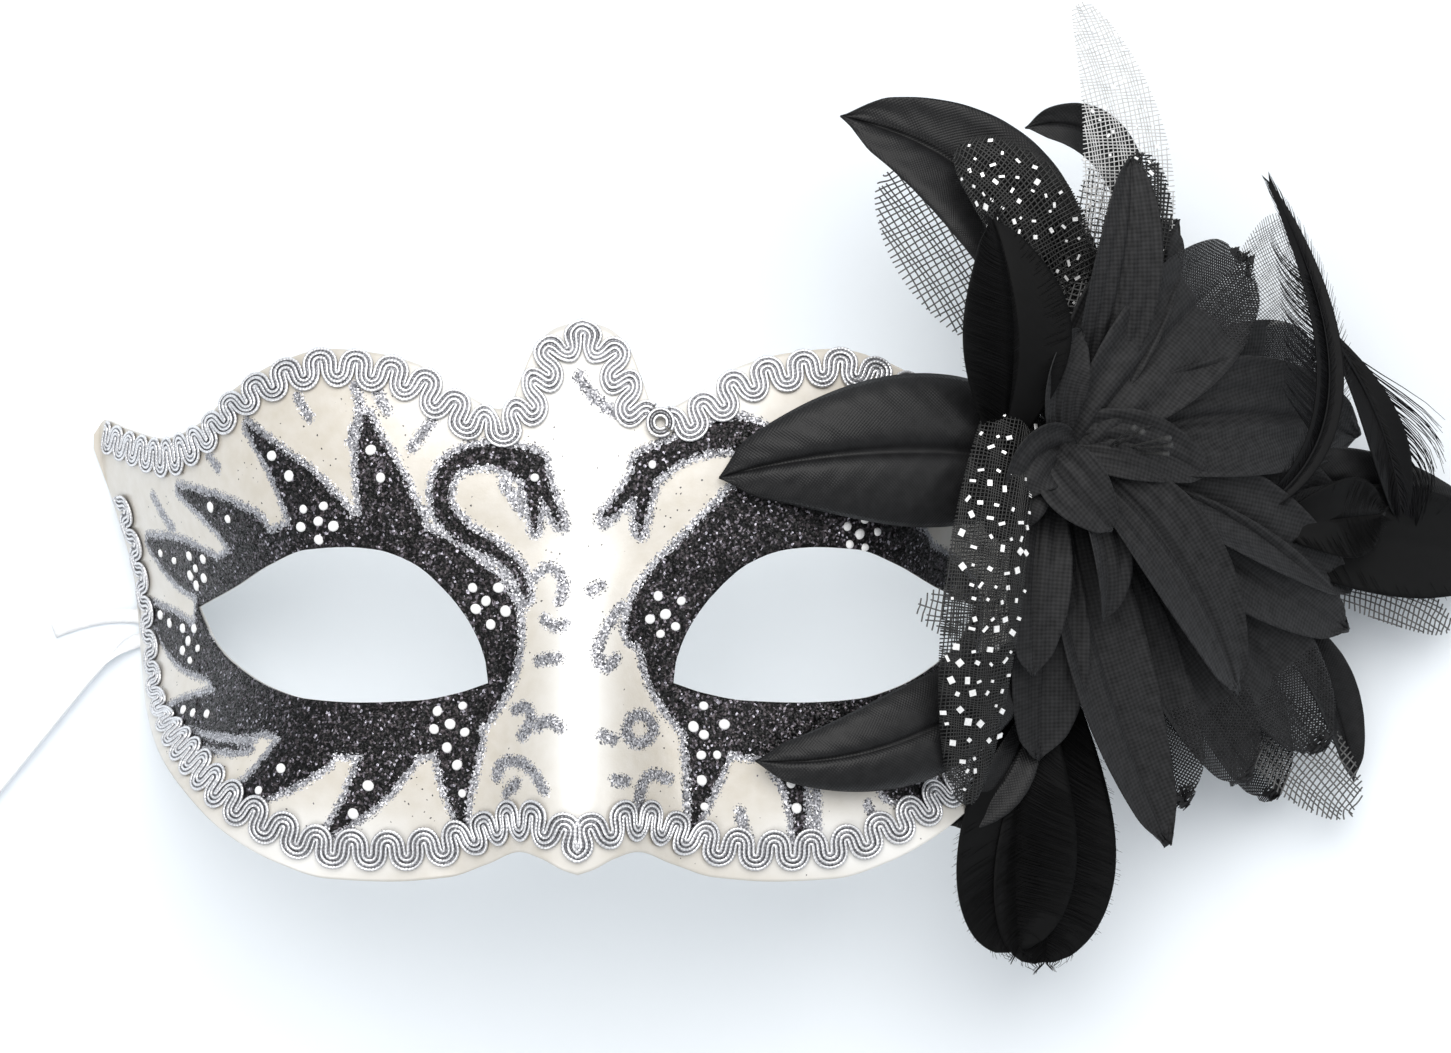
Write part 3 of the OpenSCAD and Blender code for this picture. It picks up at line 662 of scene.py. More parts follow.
LEFT_NECK = [(10.5, 5.5, 0.6), (11.3, 9, 1), (13.5, 12.5, 1.1), (18, 15.7, 1.3), (23, 18, 1.7),
    (26.5, 21.5, 1.8), (27.7, 26, 1.6), (26, 31, 1.6), (21, 33.5, 1.7), (15.5, 33.3, 2.1), (9.5, 31, 3)]
LEFT_BEAK = [[(8.5, 29, 2.2), (6, 24.5, 1), (3.8, 20, 0.5)], [(9.5, 28, 2), (9, 24, 1.1), (8.8, 19, 0.5)]]
RIGHT_FORMS = [
    [(12, 0, 3.5), (13.5, 5, 3.5), (19, 10, 4.5), (27, 17, 5), (36, 24, 7), (46, 22, 7), (56, 19, 6),
     (66, 14, 5)],
    [(36, 24, 5), (36.5, 30, 4), (35, 35, 4), (30, 38, 3), (24, 36.5, 2.2), (18, 34, 2), (13, 31, 3)],
    [(11.5, 28.5, 2), (8, 24.5, 1), (4.5, 21, 0.6)],
    [(12.5, 28, 2), (12, 24, 1.2), (11.5, 18.5, 0.6)],
    [(25, -22, 4.5), (24, -29, 2.8), (22.5, -36, 1), (21.5, -40, 0.4)],
    [(38, -24, 2.5), (41.5, -30, 2), (42.5, -36, 1.3), (42.8, -42, 0.8)],
    [(60, -32, 1.5), (66, -34, 2.5), (70, -33, 2)]]
SCROLLS = [
    [(-9, 9.5), (-6.5, 12), (-4, 10.5), (-3, 7.5), (-4, 5)],
    [(-7, 1.5), (-5, 0), (-3, 0.5)],
    [(-8, -6.5), (-6, -6), (-4, -6)],
    [(-12.5, -16), (-10, -15), (-9, -18), (-11, -21)],
    [(-8, -19), (-6, -17.5), (-3.5, -19)],
    [(-16, -29), (-15.5, -26.5), (-12.5, -25.5), (-9, -27), (-6.5, -31)],
    [(-14, -32), (-12, -30)],
    [(2, 7), (4, 8)],
    [(8, 4), (5, 0), (3, -5), (5, -8.5), (7, -6)],
    [(9, -20), (10, -17), (13, -17), (14.5, -20), (12.5, -22.5), (10, -22), (9, -20)],
    [(4.5, -20.5), (6.5, -21.5)],
    [(7, -29), (9, -29.5)],
    [(11.5, -35), (12, -30), (14, -28), (17, -29.5)],
    [(-0.5, 49), (2, 45), (6, 42), (10, 40.5)],
    [(-56, 45), (-53.5, 41)],
    [(-40, 46), (-38, 42)],
    [(-44.5, 47), (-43, 43), (-45, 36)],
    [(-29, 40), (-33, 35)],
    [(-75.5, 34), (-73, 31)],
    [(-90, 26), (-87, 21), (-85, 19)],
    [(-15, 28), (-13, 25), (-11, 22)],
    [(31, -36), (32.5, -42)],
    [(46, -32), (46, -39)],
    [(56, -35), (57.5, -38)]]
DOTS = [
    (-61, 33.5), (-57.5, 29.5), (-54.5, 23), (-50.5, 23.5), (-55, 19.5), (-51.5, 20.5), (-48.5, 19.5),
    (-51.5, 17), (-41, 34.5), (-39, 29), (-75, 23.5), (-71, 21), (-88.5, 14), (-85, 12.5), (-81, 13.5),
    (-77.5, 13), (-79.5, 11), (-81, 9.5), (-77.5, 9), (-79.5, 7.5), (-89.5, 1), (-87, -0.5),
    (-83.5, -1.5), (-80.5, -1.5), (-82, -4), (-83.5, -6), (-79.5, -5.5), (-81.5, -8), (-82.5, -18),
    (-80, -18.5), (-76.5, -18.5), (-59, -28), (-63.5, -32.5), (-41.5, -31), (-44.5, -36.5),
    (-28, -16.5), (-23, -15.5), (-25.5, -19), (-28.5, -20), (-22.5, -20.5), (-26, -23.5), (-24, -27),
    (-23, -32.5), (-21, 7.5), (-16, 7.5), (-18.5, 5), (-20.5, 3.5), (-14.5, 3), (-17.5, 0.5), (-9, 29),
    (14, 31.5), (15, 6), (19.5, 5), (16.5, 2.5), (13.5, 1.5), (18.5, 0), (15.5, -1.5), (24, -15.5),
    (22, -19.5), (28, -19), (24, -21), (23.5, -25), (26.5, -25), (23.5, -30), (24, -35), (41, -30.5),
    (42, -35.5), (44, 26), (52, 19.5), (55.5, 21), (54.5, 18), (58, 18.5), (52.5, 16), (55.5, 15.5)]
SILVER_RIM = 1.4  # how far silver shows round the black
SCROLL_R = 1.15  # half the width of a scroll
BASE_H, GLITTER_H, GRAIN_H, BLACK_H = 0.05, 0.16, 0.07, 0.10  # heights of the paint's layers
# Patches of painted highlight, white over the cream on both sides: x and y of each middle, and how far it
# reaches along x and y
PAINTED_HIGHLIGHT_PATCHES = [(0, -14, 6.5, 34), (0, 40, 11, 22), (52, -43, 24, 8), (27, 46, 8, 8), (98, -14, 9, 26)]


def girth(x):
    """Distance along the face from its middle, so that paint keeps its size down the temples."""
    xs = np.linspace(0, 106, 500)
    gx = slopes(xs, np.zeros_like(xs))[0]
    run = np.concatenate([[0], np.cumsum(np.sqrt(1 + gx[1:] ** 2) * np.diff(xs))])
    return np.sign(x) * np.interp(np.abs(x), xs, run)


def flat_on_face(points):
    """Points of the plan, laid out flat along the face."""
    points = np.asarray(points, float)
    return np.stack([girth(points[..., 0]), points[..., 1]], -1)


def rounded(points, turns=2):
    """A drawn line with its corners cut to curves."""
    p = np.asarray(points, float)
    for _ in range(turns):
        near, far = p[:-1] * 0.75 + p[1:] * 0.25, p[:-1] * 0.25 + p[1:] * 0.75
        cut = np.stack([near, far], 1).reshape(-1, p.shape[1])
        p = np.concatenate([p[:1], cut, p[-1:]])
    return p


def to_segment(q, a, b):
    """How far along a segment each point lies, from 0 to 1, and how far away from it."""
    d = b - a
    t = np.clip(((q - a) @ d) / max(d @ d, 1e-9), 0, 1)
    return t, np.linalg.norm(q - a - t[:, None] * d, axis=1)


def line_distance(q, line):
    """Distance from points to a polyline."""
    return np.min([to_segment(q, a, b)[1] for a, b in zip(line[:-1], line[1:])], axis=0)


def inside_stroke(q, stroke, side=1):
    """Distance inside a brush stroke, which side -1 puts on the left half."""
    spots = rounded(stroke) * [side, 1, 1]
    line, half = flat_on_face(spots[:, :2]), spots[:, 2]
    depths = []
    for a, b, wide, narrow in zip(line[:-1], line[1:], half[:-1], half[1:]):
        t, away = to_segment(q, a, b)
        depths.append(wide + (narrow - wide) * t - away)
    return np.max(depths, axis=0)


def painted_areas(x, y):
    """How far each point is inside the black and the silver glitter, in millimetres."""
    q = flat_on_face(np.stack([x, y], -1))
    left = [RING, LEFT_NECK] + FLAMES + LEFT_BEAK
    right = [RING] + RIGHT_FORMS
    strokes = [(stroke, -1) for stroke in left] + [(stroke, 1) for stroke in right]
    black = np.max([inside_stroke(q, stroke, side) for stroke, side in strokes], axis=0)
    silver = SILVER_RIM + black
    for scroll in SCROLLS:
        line = flat_on_face(rounded(scroll))
        silver = np.maximum(silver, SCROLL_R - line_distance(q, line))
    return black, silver


COLUMNS, BAND_ROWS = 337, 59
NOTCH_COLUMNS = np.array([12.8, 14, 15])


def shell_columns():
    """x of every column of the shell's mesh, closer together where the outline turns."""
    even = np.linspace(-TEMPLE_X, TEMPLE_X, COLUMNS)
    near = np.array([0, 0.08, 0.25, 0.5, 0.9])
    extra = np.concatenate([EYE_IN + near, EYE_OUT - near, TEMPLE_X - near, NOTCH_COLUMNS])
    extra = np.concatenate([extra, -extra])
    x = np.unique(np.concatenate([even, extra]))
    apart = np.concatenate([[True], np.diff(x) > 0.05])
    return x[apart | np.isin(x, extra)]


def shell_rows(x, n):
    """y of the rows from the cheek edge to the lower lid, and from the upper lid to the brow."""
    a = np.abs(x)
    cheek, brow = curve(CHEEK, a), curve(BROW, a)
    corner = np.where(a < EYE_IN + 1, EYE_IN, EYE_OUT)
    foot, lid, top = curve(CHEEK, corner), curve(LID_LOW, corner), curve(BROW, corner)
    waist = cheek + (lid - foot) / (top - foot) * (brow - cheek)
    in_eye = (a > EYE_IN) & (a < EYE_OUT)
    open_x = np.clip(a, EYE_IN, EYE_OUT)
    low = np.where(in_eye, curve(LID_LOW, open_x), waist)
    high = np.where(in_eye, curve(LID_UP, open_x), waist)
    t = np.linspace(0, 1, n)[:, None]
    return np.stack([cheek + (low - cheek) * t, high + (brow - high) * t]), in_eye


def cells(grid):
    """A quad for every cell of each grid of point numbers."""
    corners = [grid[:, :-1, :-1], grid[:, :-1, 1:], grid[:, 1:, 1:], grid[:, 1:, :-1]]
    return np.stack(corners, -1).reshape(-1, 4)


def strip(a, b):
    """Quads between two lines of point numbers."""
    return np.stack([a[1:], a[:-1], b[:-1], b[1:]], -1)


def shell_faces(rows, x, in_eye):
    """Quads of both faces, the outer rim and the two eye rims."""
    n, c = rows.shape[1], len(x)
    ids = np.arange(4 * n * c).reshape(2, 2, n, c)
    ids[:, 1, 0, ~in_eye] = ids[:, 0, -1, ~in_eye]
    out, inn = ids
    by_eye = (np.abs(x) >= EYE_IN) & (np.abs(x) <= EYE_OUT)
    rim = by_eye[:-1] & by_eye[1:] & (x[:-1] * x[1:] > 0)
    quads = [cells(out), cells(inn)[:, ::-1],
             strip(out[0, 0], inn[0, 0]), strip(out[1, -1], inn[1, -1])[:, ::-1],
             strip(out[0, -1], inn[0, -1])[rim][:, ::-1], strip(out[1, 0], inn[1, 0])[rim]]
    for band in (0, 1):
        quads.append(strip(out[band, :, 0], inn[band, :, 0])[:, ::-1])
        quads.append(strip(out[band, :, -1], inn[band, :, -1]))
    return np.concatenate(quads)


def painted_highlight_share(x, y):
    """How much white is painted over the cream as highlight: nose ridge, forehead, lower cheeks and brows.
    """
    cover = np.zeros(len(x))
    for centre_x, centre_y, half_x, half_y in PAINTED_HIGHLIGHT_PATCHES:
        cover += np.exp(-((np.abs(x) - centre_x) / half_x) ** 2 - ((y - centre_y) / half_y) ** 2)
    return np.clip(cover, 0, 1)


def paint_height(x, y, black, silver):
    """Thickness of the lacquer and of the grains of glitter that lie on it."""
    grains = rng.normal(0, 1, len(y))
    glitter = np.clip(np.maximum(black, silver) / 0.8, 0, 1)
    height = glitter * (GLITTER_H + GRAIN_H * grains) + BASE_H * ripple(x / 9, y / 9, 8, 3)
    return height + BLACK_H * np.clip(black / 0.8, 0, 1)


def mask_shell():
    """The moulded shell as one closed mesh, which carries its paint's areas as attributes."""
    x = shell_columns()
    rows, in_eye = shell_rows(x, BAND_ROWS)
    grid_x = np.broadcast_to(x, rows.shape).ravel()
    y = rows.ravel()
    black, silver = painted_areas(grid_x, y)
    outer = on_shell(grid_x, y, paint_height(grid_x, y, black, silver))
    outer[:, 0] = np.where(np.abs(grid_x) > TEMPLE_X - 1, grid_x, outer[:, 0])
    inner = np.stack([grid_x, y, under_z(grid_x, y)], -1)
    used, index = np.unique(shell_faces(rows, x, in_eye), return_inverse=True)
    # Painted areas, and how much white is painted over the cream as highlight
    both = {"black": black, "silver": silver, "painted_highlight": painted_highlight_share(grid_x, y)}
    attributes = {key: np.tile(values, 2)[used] for key, values in both.items()}
    obj = build("painted_shell", np.concatenate([outer, inner])[used], [index.reshape(-1, 4)],
                pearl_paint(), inside=np.repeat([0.0, 1.0], len(y))[used], **attributes)
    stand_for(obj, "pearl_shell", "mask_shell")


DOT_SIDES, DOT_RINGS, DOT_SEED = 16, 4, 100
DOT_H, DOT_RIM_H, DOT_SUNK = 0.75, 0.18, 0.15


def dot_dome(seed, x, y):
    """Points of one dot: its crown, the rings round it and the middle of its underside."""
    own = np.random.default_rng(seed)
    turn = np.arange(DOT_SIDES) * 2 * np.pi / DOT_SIDES
    radius = own.uniform(0.95, 1.3)
    shape = 1 + 0.08 * np.sin(turn + own.uniform(0, 6)) + 0.05 * np.sin(2 * turn + own.uniform(0, 6))
    centre, n = on_shell(x, y, 0), normal_at(np.array(x), np.array(y))
    e = unit(np.cross(vec(0, 1, 0), n))
    f = np.cross(n, e)
    spokes = (np.outer(np.cos(turn), e) + np.outer(np.sin(turn), f)) * (radius * shape)[:, None]
    rings = []
    for r in np.linspace(0, 1, DOT_RINGS + 1)[1:]:
        rise = DOT_RIM_H + (DOT_H - DOT_RIM_H) * math.sqrt(1 - r * r) if r < 1 else -DOT_SUNK
        rings.append(centre + spokes * r + n * rise)
    return np.concatenate([[centre + n * DOT_H], *rings, [centre - n * DOT_SUNK]])


def dot_faces():
    """Quads between a dot's rings, and triangles that close its crown and its underside."""
    k = np.arange(DOT_SIDES)
    after = (k + 1) % DOT_SIDES
    starts = 1 + DOT_SIDES * np.arange(DOT_RINGS)
    quads = [np.stack([a + k, a + DOT_SIDES + k, a + DOT_SIDES + after, a + after], 1) for a in starts[:-1]]
    crown = np.stack([0 * k, 1 + k, 1 + after], 1)
    under = np.stack([0 * k + starts[-1] + DOT_SIDES, starts[-1] + after, starts[-1] + k], 1)
    return np.concatenate(quads), np.concatenate([crown, under])


def painted_dots():
    """Raised white dots, each a small dome of thick paint."""
    domes = [dot_dome(DOT_SEED + i, x, y) for i, (x, y) in enumerate(DOTS)]
    shift = np.arange(len(domes))[:, None, None] * len(domes[0])
    faces = [(part + shift).reshape(-1, part.shape[1]) for part in dot_faces()]
    stand_for(build("painted_dots", np.concatenate(domes), faces, DOT_PAINT), "pearl_shell")


DOT_PAINT = dot_paint()
mask_shell()
painted_dots()

# ---- braids

GIMP = gimp_thread()
CORDS, CORD_GAP, CORD_R, MEANDER, SWING = 7, 0.47, 0.33, 7.2, 2.5
BROW_INSET, CHEEK_INSET = 4.0, 6.5
CURL_AT, CURL_R, CURL_GAP = (15.5, 39.5), 2.5, 0.62


def eased(track, reach):
    """A running mean along a line of points, over reach points each way."""
    share = np.ones(2 * reach + 1) / (2 * reach + 1)
    return np.stack([np.convolve(np.pad(part, reach, mode="edge"), share, "valid") for part in track.T], -1)


def edge_lines(knots, x, inset, way):
    """Points inset from an edge of the shell, and the plan direction away from the face."""
    low, high = np.maximum(np.abs(x) - 0.4, 0), np.minimum(np.abs(x) + 0.4, TEMPLE_X)
    slope = np.sign(x) * (curve(knots, high) - curve(knots, low)) / (high - low)
    outward = unit(np.stack([-slope, np.ones_like(x)], -1)) * -way
    return eased(shifted(x, curve(knots, x), outward, -inset), 9), unit(eased(outward, 26))


def shifted(x, y, way, d):
    """Moves plan points by a true distance d over the shell along way."""
    gx, gy = slopes(x, y)
    step = d / np.sqrt((gx * way[..., 0] + gy * way[..., 1]) ** 2 + 1)
    return np.stack([x, y], -1) + way * np.asarray(step)[..., None]


def gimp_cord(path, radius, core):
    """One cord of gimp, painted darker as shade between cords where its filler flag is 1."""
    points, quads, attributes = tube(path, radius, 7)
    return points, quads, {**attributes, "core": np.full(len(points), float(core))}


def gimp_braid(name, knots, x, inset, way, *nodes):
    """Four silver cords, with thinner filler cords laid between them and painted darker as shade, that wind
    side by side along an edge.
    """
    q, outward = edge_lines(knots, x, inset, way)
    run = lengths_along(on_shell(q[:, 0], q[:, 1], np.zeros(len(q))))
    waves = round(run[-1] / MEANDER)
    phi = np.linspace(0, waves * 2 * np.pi, waves * 26)
    lean = phi / phi[-1] * run[-1] + 0.54 * np.sin(2 * phi)
    swing = SWING * np.cos(phi)
    heading = unit(np.stack([np.gradient(lean), np.gradient(swing)], -1))
    parts = []
    for k in range(CORDS):
        off = (k - (CORDS - 1) / 2) * CORD_GAP
        s = np.clip(lean - heading[:, 1] * off, 0, run[-1])
        at_x, at_y, way_x, way_y = [np.interp(s, run, values) for values in (*q.T, *outward.T)]
        at = shifted(at_x, at_y, unit(np.stack([way_x, way_y], -1)), swing + heading[:, 0] * off)
        # Every second cord is a filler: lower, thinner and painted darker as the shade between cords
        core = k % 2
        lift = 0.66 - 0.22 * core + 0.12 * np.sin(phi + k * 1.7)
        parts.append(gimp_cord(on_shell(at[:, 0], at[:, 1], lift), CORD_R - 0.05 * core, core))
    piece_of(name, parts, GIMP, "silver_gimp", *nodes)


def braid_curl():
    """The end of the brow braid, curled over itself at the join."""
    a = np.linspace(-0.6, 1.75 * np.pi, 44)
    parts = []
    for k in range(3):
        r = CURL_R - CURL_GAP * k
        x, y = CURL_AT[0] + r * np.cos(a), CURL_AT[1] + r * 1.05 * np.sin(a)
        # The middle cord of the curl is a filler, painted darker as shade
        parts.append(gimp_cord(on_shell(x, y, np.full(len(a), 1.5 + 0.1 * k)), CORD_R, k == 1))
    piece_of("gimp_curl", parts, GIMP, "silver_gimp", "braid_join")


gimp_braid("gimp_brow_left", BROW, np.linspace(-102, 14.6, 700), BROW_INSET, -1, "brow_braid_left")
gimp_braid("gimp_brow_right", BROW, np.linspace(16.6, 102, 500), BROW_INSET, -1, "brow_braid_right")
gimp_braid("gimp_cheek", CHEEK, np.linspace(-102, 102, 1100), CHEEK_INSET, 1, "cheek_braid")
braid_curl()

# ---- blades of the spray

# name, base, bend, tip, width, widest place along it, cup across it, roll, fullness
BLADES = [
    ["petal_01", [98, 33, 59], [119, 20, 64], [132, -14, 40], 18, 0.52, 0.14, 0, 0.75],
    ["petal_02", [101, 33, 57], [131, 26, 54], [157, 6, 24], 17, 0.5, 0.15, 10, 0.75],
    ["petal_03", [102, 30, 55], [128, 14, 52], [157, -2, 22], 17, 0.55, 0.15, -8, 0.7],
    ["petal_04", [96, 30, 55], [99, -2, 58], [118, -45, 39], 19, 0.5, 0.12, 8, 0.7],
    ["petal_05", [98, 28, 50], [108, -2, 50], [122, -37, 36], 19, 0.6, 0.1, 0, 0.6],
    ["petal_06", [101, 25, 48], [118, -4, 46], [136, -33, 26], 20, 0.6, 0.1, 0, 0.6],
    ["petal_07", [105, 24, 46], [133, 4, 40], [152, -27, 16], 23, 0.6, 0.08, 0, 0.6],
    ["petal_08", [92, 33, 63], [84, 28, 74], [82, 17, 67], 13, 0.55, 0.15, 0, 0.6],
    ["petal_09", [94, 22, 54], [92, -2, 62], [91, -27, 51], 17, 0.6, 0.12, 0, 0.65],
    ["petal_10", [94, 35, 62], [91, 48, 74], [98, 58, 66], 12, 0.5, 0.2, -20, 0.7],
    ["petal_11", [97, 35, 60], [113, 55, 68], [134, 74, 38], 25, 0.6, 0.1, 0, 0.6],
    ["petal_12", [96, 37, 56], [103, 60, 66], [119, 81, 46], 18, 0.5, 0.1, 10, 0.7],
    ["petal_13", [99, 42, 56], [109, 70, 70], [108, 92, 63], 15, 0.45, 0.1, 0, 0.8],
    ["petal_14", [100, 34, 58], [130, 47, 58], [159, 38, 20], 24, 0.5, 0.12, 0, 0.7],
    ["petal_15", [101, 37, 52], [127, 52, 52], [150, 54, 20], 20, 0.6, 0.1, 0, 0.6],
    ["petal_16", [97, 35, 61], [88, 36, 75], [84, 24, 71], 13, 0.5, 0.15, 15, 0.7],
    ["petal_17", [91, 34, 64], [96, 28, 73], [104, 19, 66], 13, 0.45, 0.2, -15, 0.8],
    ["petal_18", [108, 19, 42], [130, -8, 34], [143, -37, 14], 20, 0.6, 0.08, 0, 0.6],
    ["petal_19", [107, 30, 50], [138, 30, 44], [158, 14, 17], 23, 0.5, 0.1, 0, 0.7],
    ["petal_20", [94, 41, 50], [91, 60, 60], [100, 80, 52], 16, 0.5, 0.1, 0, 0.7],
    ["petal_21", [95, 36, 60], [108, 38, 64], [124, 30, 54], 14, 0.45, 0.15, 0, 0.7],
    ["petal_22", [97, 30, 61], [106, 14, 66], [103, 1, 58], 12, 0.45, 0.2, 25, 0.8],
    ["petal_23", [92, 30, 58], [88, 13, 70], [89, -10, 62], 14, 0.55, 0.15, 0, 0.7],
    ["satin_leaf_left", [95, 32, 60], [60, 38, 84], [27, 29, 75], 30, 0.38, -0.1, 0, 0.9],
    ["satin_leaf_lower_left", [92, -4, 52], [66, -28, 82], [34, -26, 75], 19, 0.42, -0.1, 0, 0.9],
    ["satin_leaf_top_left", [94, 48, 46], [95, 92, 62], [51, 101, 56], 26, 0.5, 0.1, 0, 0.9],
    ["satin_leaf_top_small", [112, 64, 40], [112, 106, 50], [88, 99, 52], 10.5, 0.6, 0.15, 0, 0.8],
    ["satin_leaf_right", [128, 24, 36], [150, 34, 34], [184, 23, 12], 14, 0.5, 0.1, 0, 0.8],
    ["satin_leaf_rolled", [136, 2, 28], [154, -4, 22], [160, -34, 8], 10.5, 0.55, 0.3, 0, 0.8],
    ["satin_leaf_lower_tip", [90, -16, 46], [86, -34, 54], [73, -40, 52], 10.5, 0.5, 0.15, 0, 0.8],
    ["goose_feather_upper", [82, 34, 66], [87, 57, 83], [80, 79, 76], 24, 0.5, 0.1, 0, 1.15],
    ["goose_feather_lower_a", [91, -12, 46], [84, -36, 54], [87.5, -66, 42], 28, 0.68, 0.05, 0, 0.5],
    ["goose_feather_lower_b", [96, -12, 43], [95, -38, 50], [93, -69, 38], 28, 0.68, 0.05, 0, 0.5],
    ["goose_feather_right", [134, 16, 32], [160, 20, 30], [190, 12, 8], 24, 0.6, 0.08, 0, 0.6],
    ["goose_feather_fan", [138, 19, 37], [150, 21, 38], [163, 22, 27], 17, 0.7, 0.1, 0, 0.6],
    ["coque_feather_tall", [133, 21, 40], [164, 38, 46], [138, 89, 42], 10, 0.5, 0.1, 0, 0.8],
    ["coque_feather_right", [150, 60, 36], [164, 42, 36], [168, 20, 22], 18, 0.6, 0.1, 0, 0.8],
    ["net_top", [107, 62, 46], [112, 98, 56], [98, 123, 58], 21, 0.3, 0.05, 0, 0.8],
    ["net_upper_left", [82, 58, 40], [72, 76, 48], [61, 91, 44], 22, 0.5, 0.05, 0, 0.6],
    ["net_upper_mid", [95, 54, 54], [101, 72, 58], [104, 94, 50], 12, 0.5, 0.05, 0, 0.6],
    ["net_right", [148, 9, 22], [166, 7, 20], [180, -2, 10], 11, 0.5, 0.05, 0, 0.6],
    ["net_lower_right", [128, -14, 24], [145, -24, 20], [160, -40, 10], 19, 0.55, 0.05, 0, 0.6],
    ["net_eye_corner", [84, 2, 60], [75, 2, 68], [66, 4, 63], 11, 0.5, 0.05, 0, 0.6],
    ["organza_ruffle", [121, 56, 36], [134, 67, 42], [148, 75, 28], 24, 0.8, 0.1, 0, 0.6],
    ["dotted_tulle_sash", [86, 50, 66], [77, 8, 88], [76, -35, 66], 17, 0.5, -0.1, 0, 0.5],
    ["dotted_tulle_leaf", [97, 56, 52], [92, 84, 66], [74, 94, 62], 20, 0.5, 0.1, 0, 0.6],
    ["dotted_tulle_top", [104, 58, 48], [111, 77, 57], [111, 94, 54], 15, 0.5, 0.1, 0, 0.6],
]
ROWS = {row[0]: row[1:] for row in BLADES}
BLUNT_END = 0.18
ORGANZA_T, SATIN_T, VANE_T = 0.22, 0.3, 0.25
MIN_FLAT = 0.0101


def spine_of(row, u):
    """Points, sideways and upward directions, and half width of a blade at each u."""
    base, bend, tip = (np.array(p, float) for p in row[:3])
    width, peak, _, roll, full = row[3:]
    u = u[:, None]
    at = (1 - u) ** 2 * base + 2 * u * (1 - u) * bend + u * u * tip
    way = unit((1 - u) * (bend - base) + u * (tip - bend))
    side = unit(np.cross(way, vec(0.35, 0, 0.94)))
    over = np.cross(side, way)
    side, over = turned(side, over, math.radians(roll))
    swell = np.sin(np.pi * np.clip(u[:, 0], 0, 1) ** (math.log(0.5) / math.log(peak)))
    half = width / 2 * (BLUNT_END + (1 - BLUNT_END) * np.maximum(swell, 0) ** full)
    return at, way, side, over, half


def blade_surface(name, rows, cols, shape, point=0.5):
    """Grid of points of a blade; shape(u, v, width) is its relief in millimetres."""
    row = ROWS[name]
    u = np.linspace(0, 1, rows) ** 0.94
    v = np.linspace(-1, 1, cols)
    at, _, side, over, half = spine_of(row, u)
    half = half * np.where(u > 0.9, 1 - point * ((u - 0.9) / 0.1) ** 2, 1)
    uu, vv = np.meshgrid(u, v, indexing="ij")
    across = vv * half[:, None]
    cup = row[5] * row[3] * vv ** 2
    rise = cup * (2 * half[:, None] / row[3]) + shape(uu, vv, row[3])
    surface = at[:, None] + side[:, None] * across[..., None] + over[:, None] * rise[..., None]
    along = np.broadcast_to(lengths_along(at)[:, None], uu.shape)
    return surface, np.stack([across, along, np.zeros_like(uu)], -1), uu, vv


def surface_size(surface):
    """Length of a surface along its middle, and its width at each row."""
    middle = surface[:, surface.shape[1] // 2]
    length = np.linalg.norm(np.diff(middle, axis=0), axis=1).sum()
    return length, np.linalg.norm(np.diff(surface, axis=1), axis=2).sum(axis=1)


def declare_sheet(obj, surface, layers=1):
    """Works out the flat size of a piece of cloth, as cut before it was folded in layers; nothing uses the
    size.
    """
    length, widths = surface_size(surface)
    width, length = max(round(layers * widths.max() * MM, 4), MIN_FLAT), round(length * MM, 4)


def petal(name, seed):
    """A heat-pressed organza petal: a centre crease, soft pleats and a fluted edge."""
    own = np.random.default_rng(seed)
    pleats, phase = own.integers(3, 6), own.uniform(0, 6)
    sheer_tip = name in SHEER_PETALS

    def shape(u, v, width):
        crease = -0.05 * width * np.exp(-(v / 0.10) ** 2) * np.sin(np.pi * u) ** 0.5
        fold = 0.045 * width * np.cos(pleats * np.pi * v + phase) * np.exp(-2.0 * u) * np.sin(np.pi * u)
        flute = (0.10 if sheer_tip else 0.055) * width * np.abs(v) ** 1.5 * u * ripple(u, v, 9, seed, 1.6)
        return crease + fold + flute + 0.08 * width * ripple(u, v, 6, seed + 500)

    surface, cloth, u, v = blade_surface(name, 56, 25, shape, 0.75)
    ragged = 0.5 if sheer_tip else 0.15
    surface[-3:] += own.normal(0, ragged, (3, 25, 1)) * vec(1, 1, 0)
    sheer = np.clip((u - 0.62) / 0.3, 0, 1) * 0.9 if sheer_tip else np.zeros_like(u)
    angle = own.uniform(0.5, 0.9)
    c, d = math.cos(angle), math.sin(angle)
    laid = cloth @ np.array([[c, d, 0], [-d, c, 0], [0, 0, 1]])
    sheet = sheet_mesh(surface, ORGANZA_T, laid, sheer=sheer)
    declare_sheet(piece_of("organza_" + name, [sheet], ORGANZA, "black_organza", name), surface)


def satin_leaf(name, seed):
    """A pressed satin leaf, with a sharp centre crease and curled edges."""
    def shape(u, v, width):
        crease = -0.09 * width * np.exp(-np.abs(v) / 0.10) * np.sin(np.pi * u) ** 0.4
        curl = 0.10 * width * np.clip(np.abs(v) - 0.72, 0, 1) ** 2 * 6 * np.sin(np.pi * u)
        veins = 0.0025 * width * np.sin(u * 70 - np.abs(v) * 14)
        return crease - curl + veins + 0.05 * width * ripple(u, v, 5, seed)

    surface, cloth, u, v = blade_surface(name, 72, 33, shape, 1.0)
    sheet = sheet_mesh(surface, SATIN_T, cloth, sheer=np.zeros_like(u))
    declare_sheet(piece_of(name + "_cloth", [sheet], BLACK_SATIN, "black_satin", name), surface)


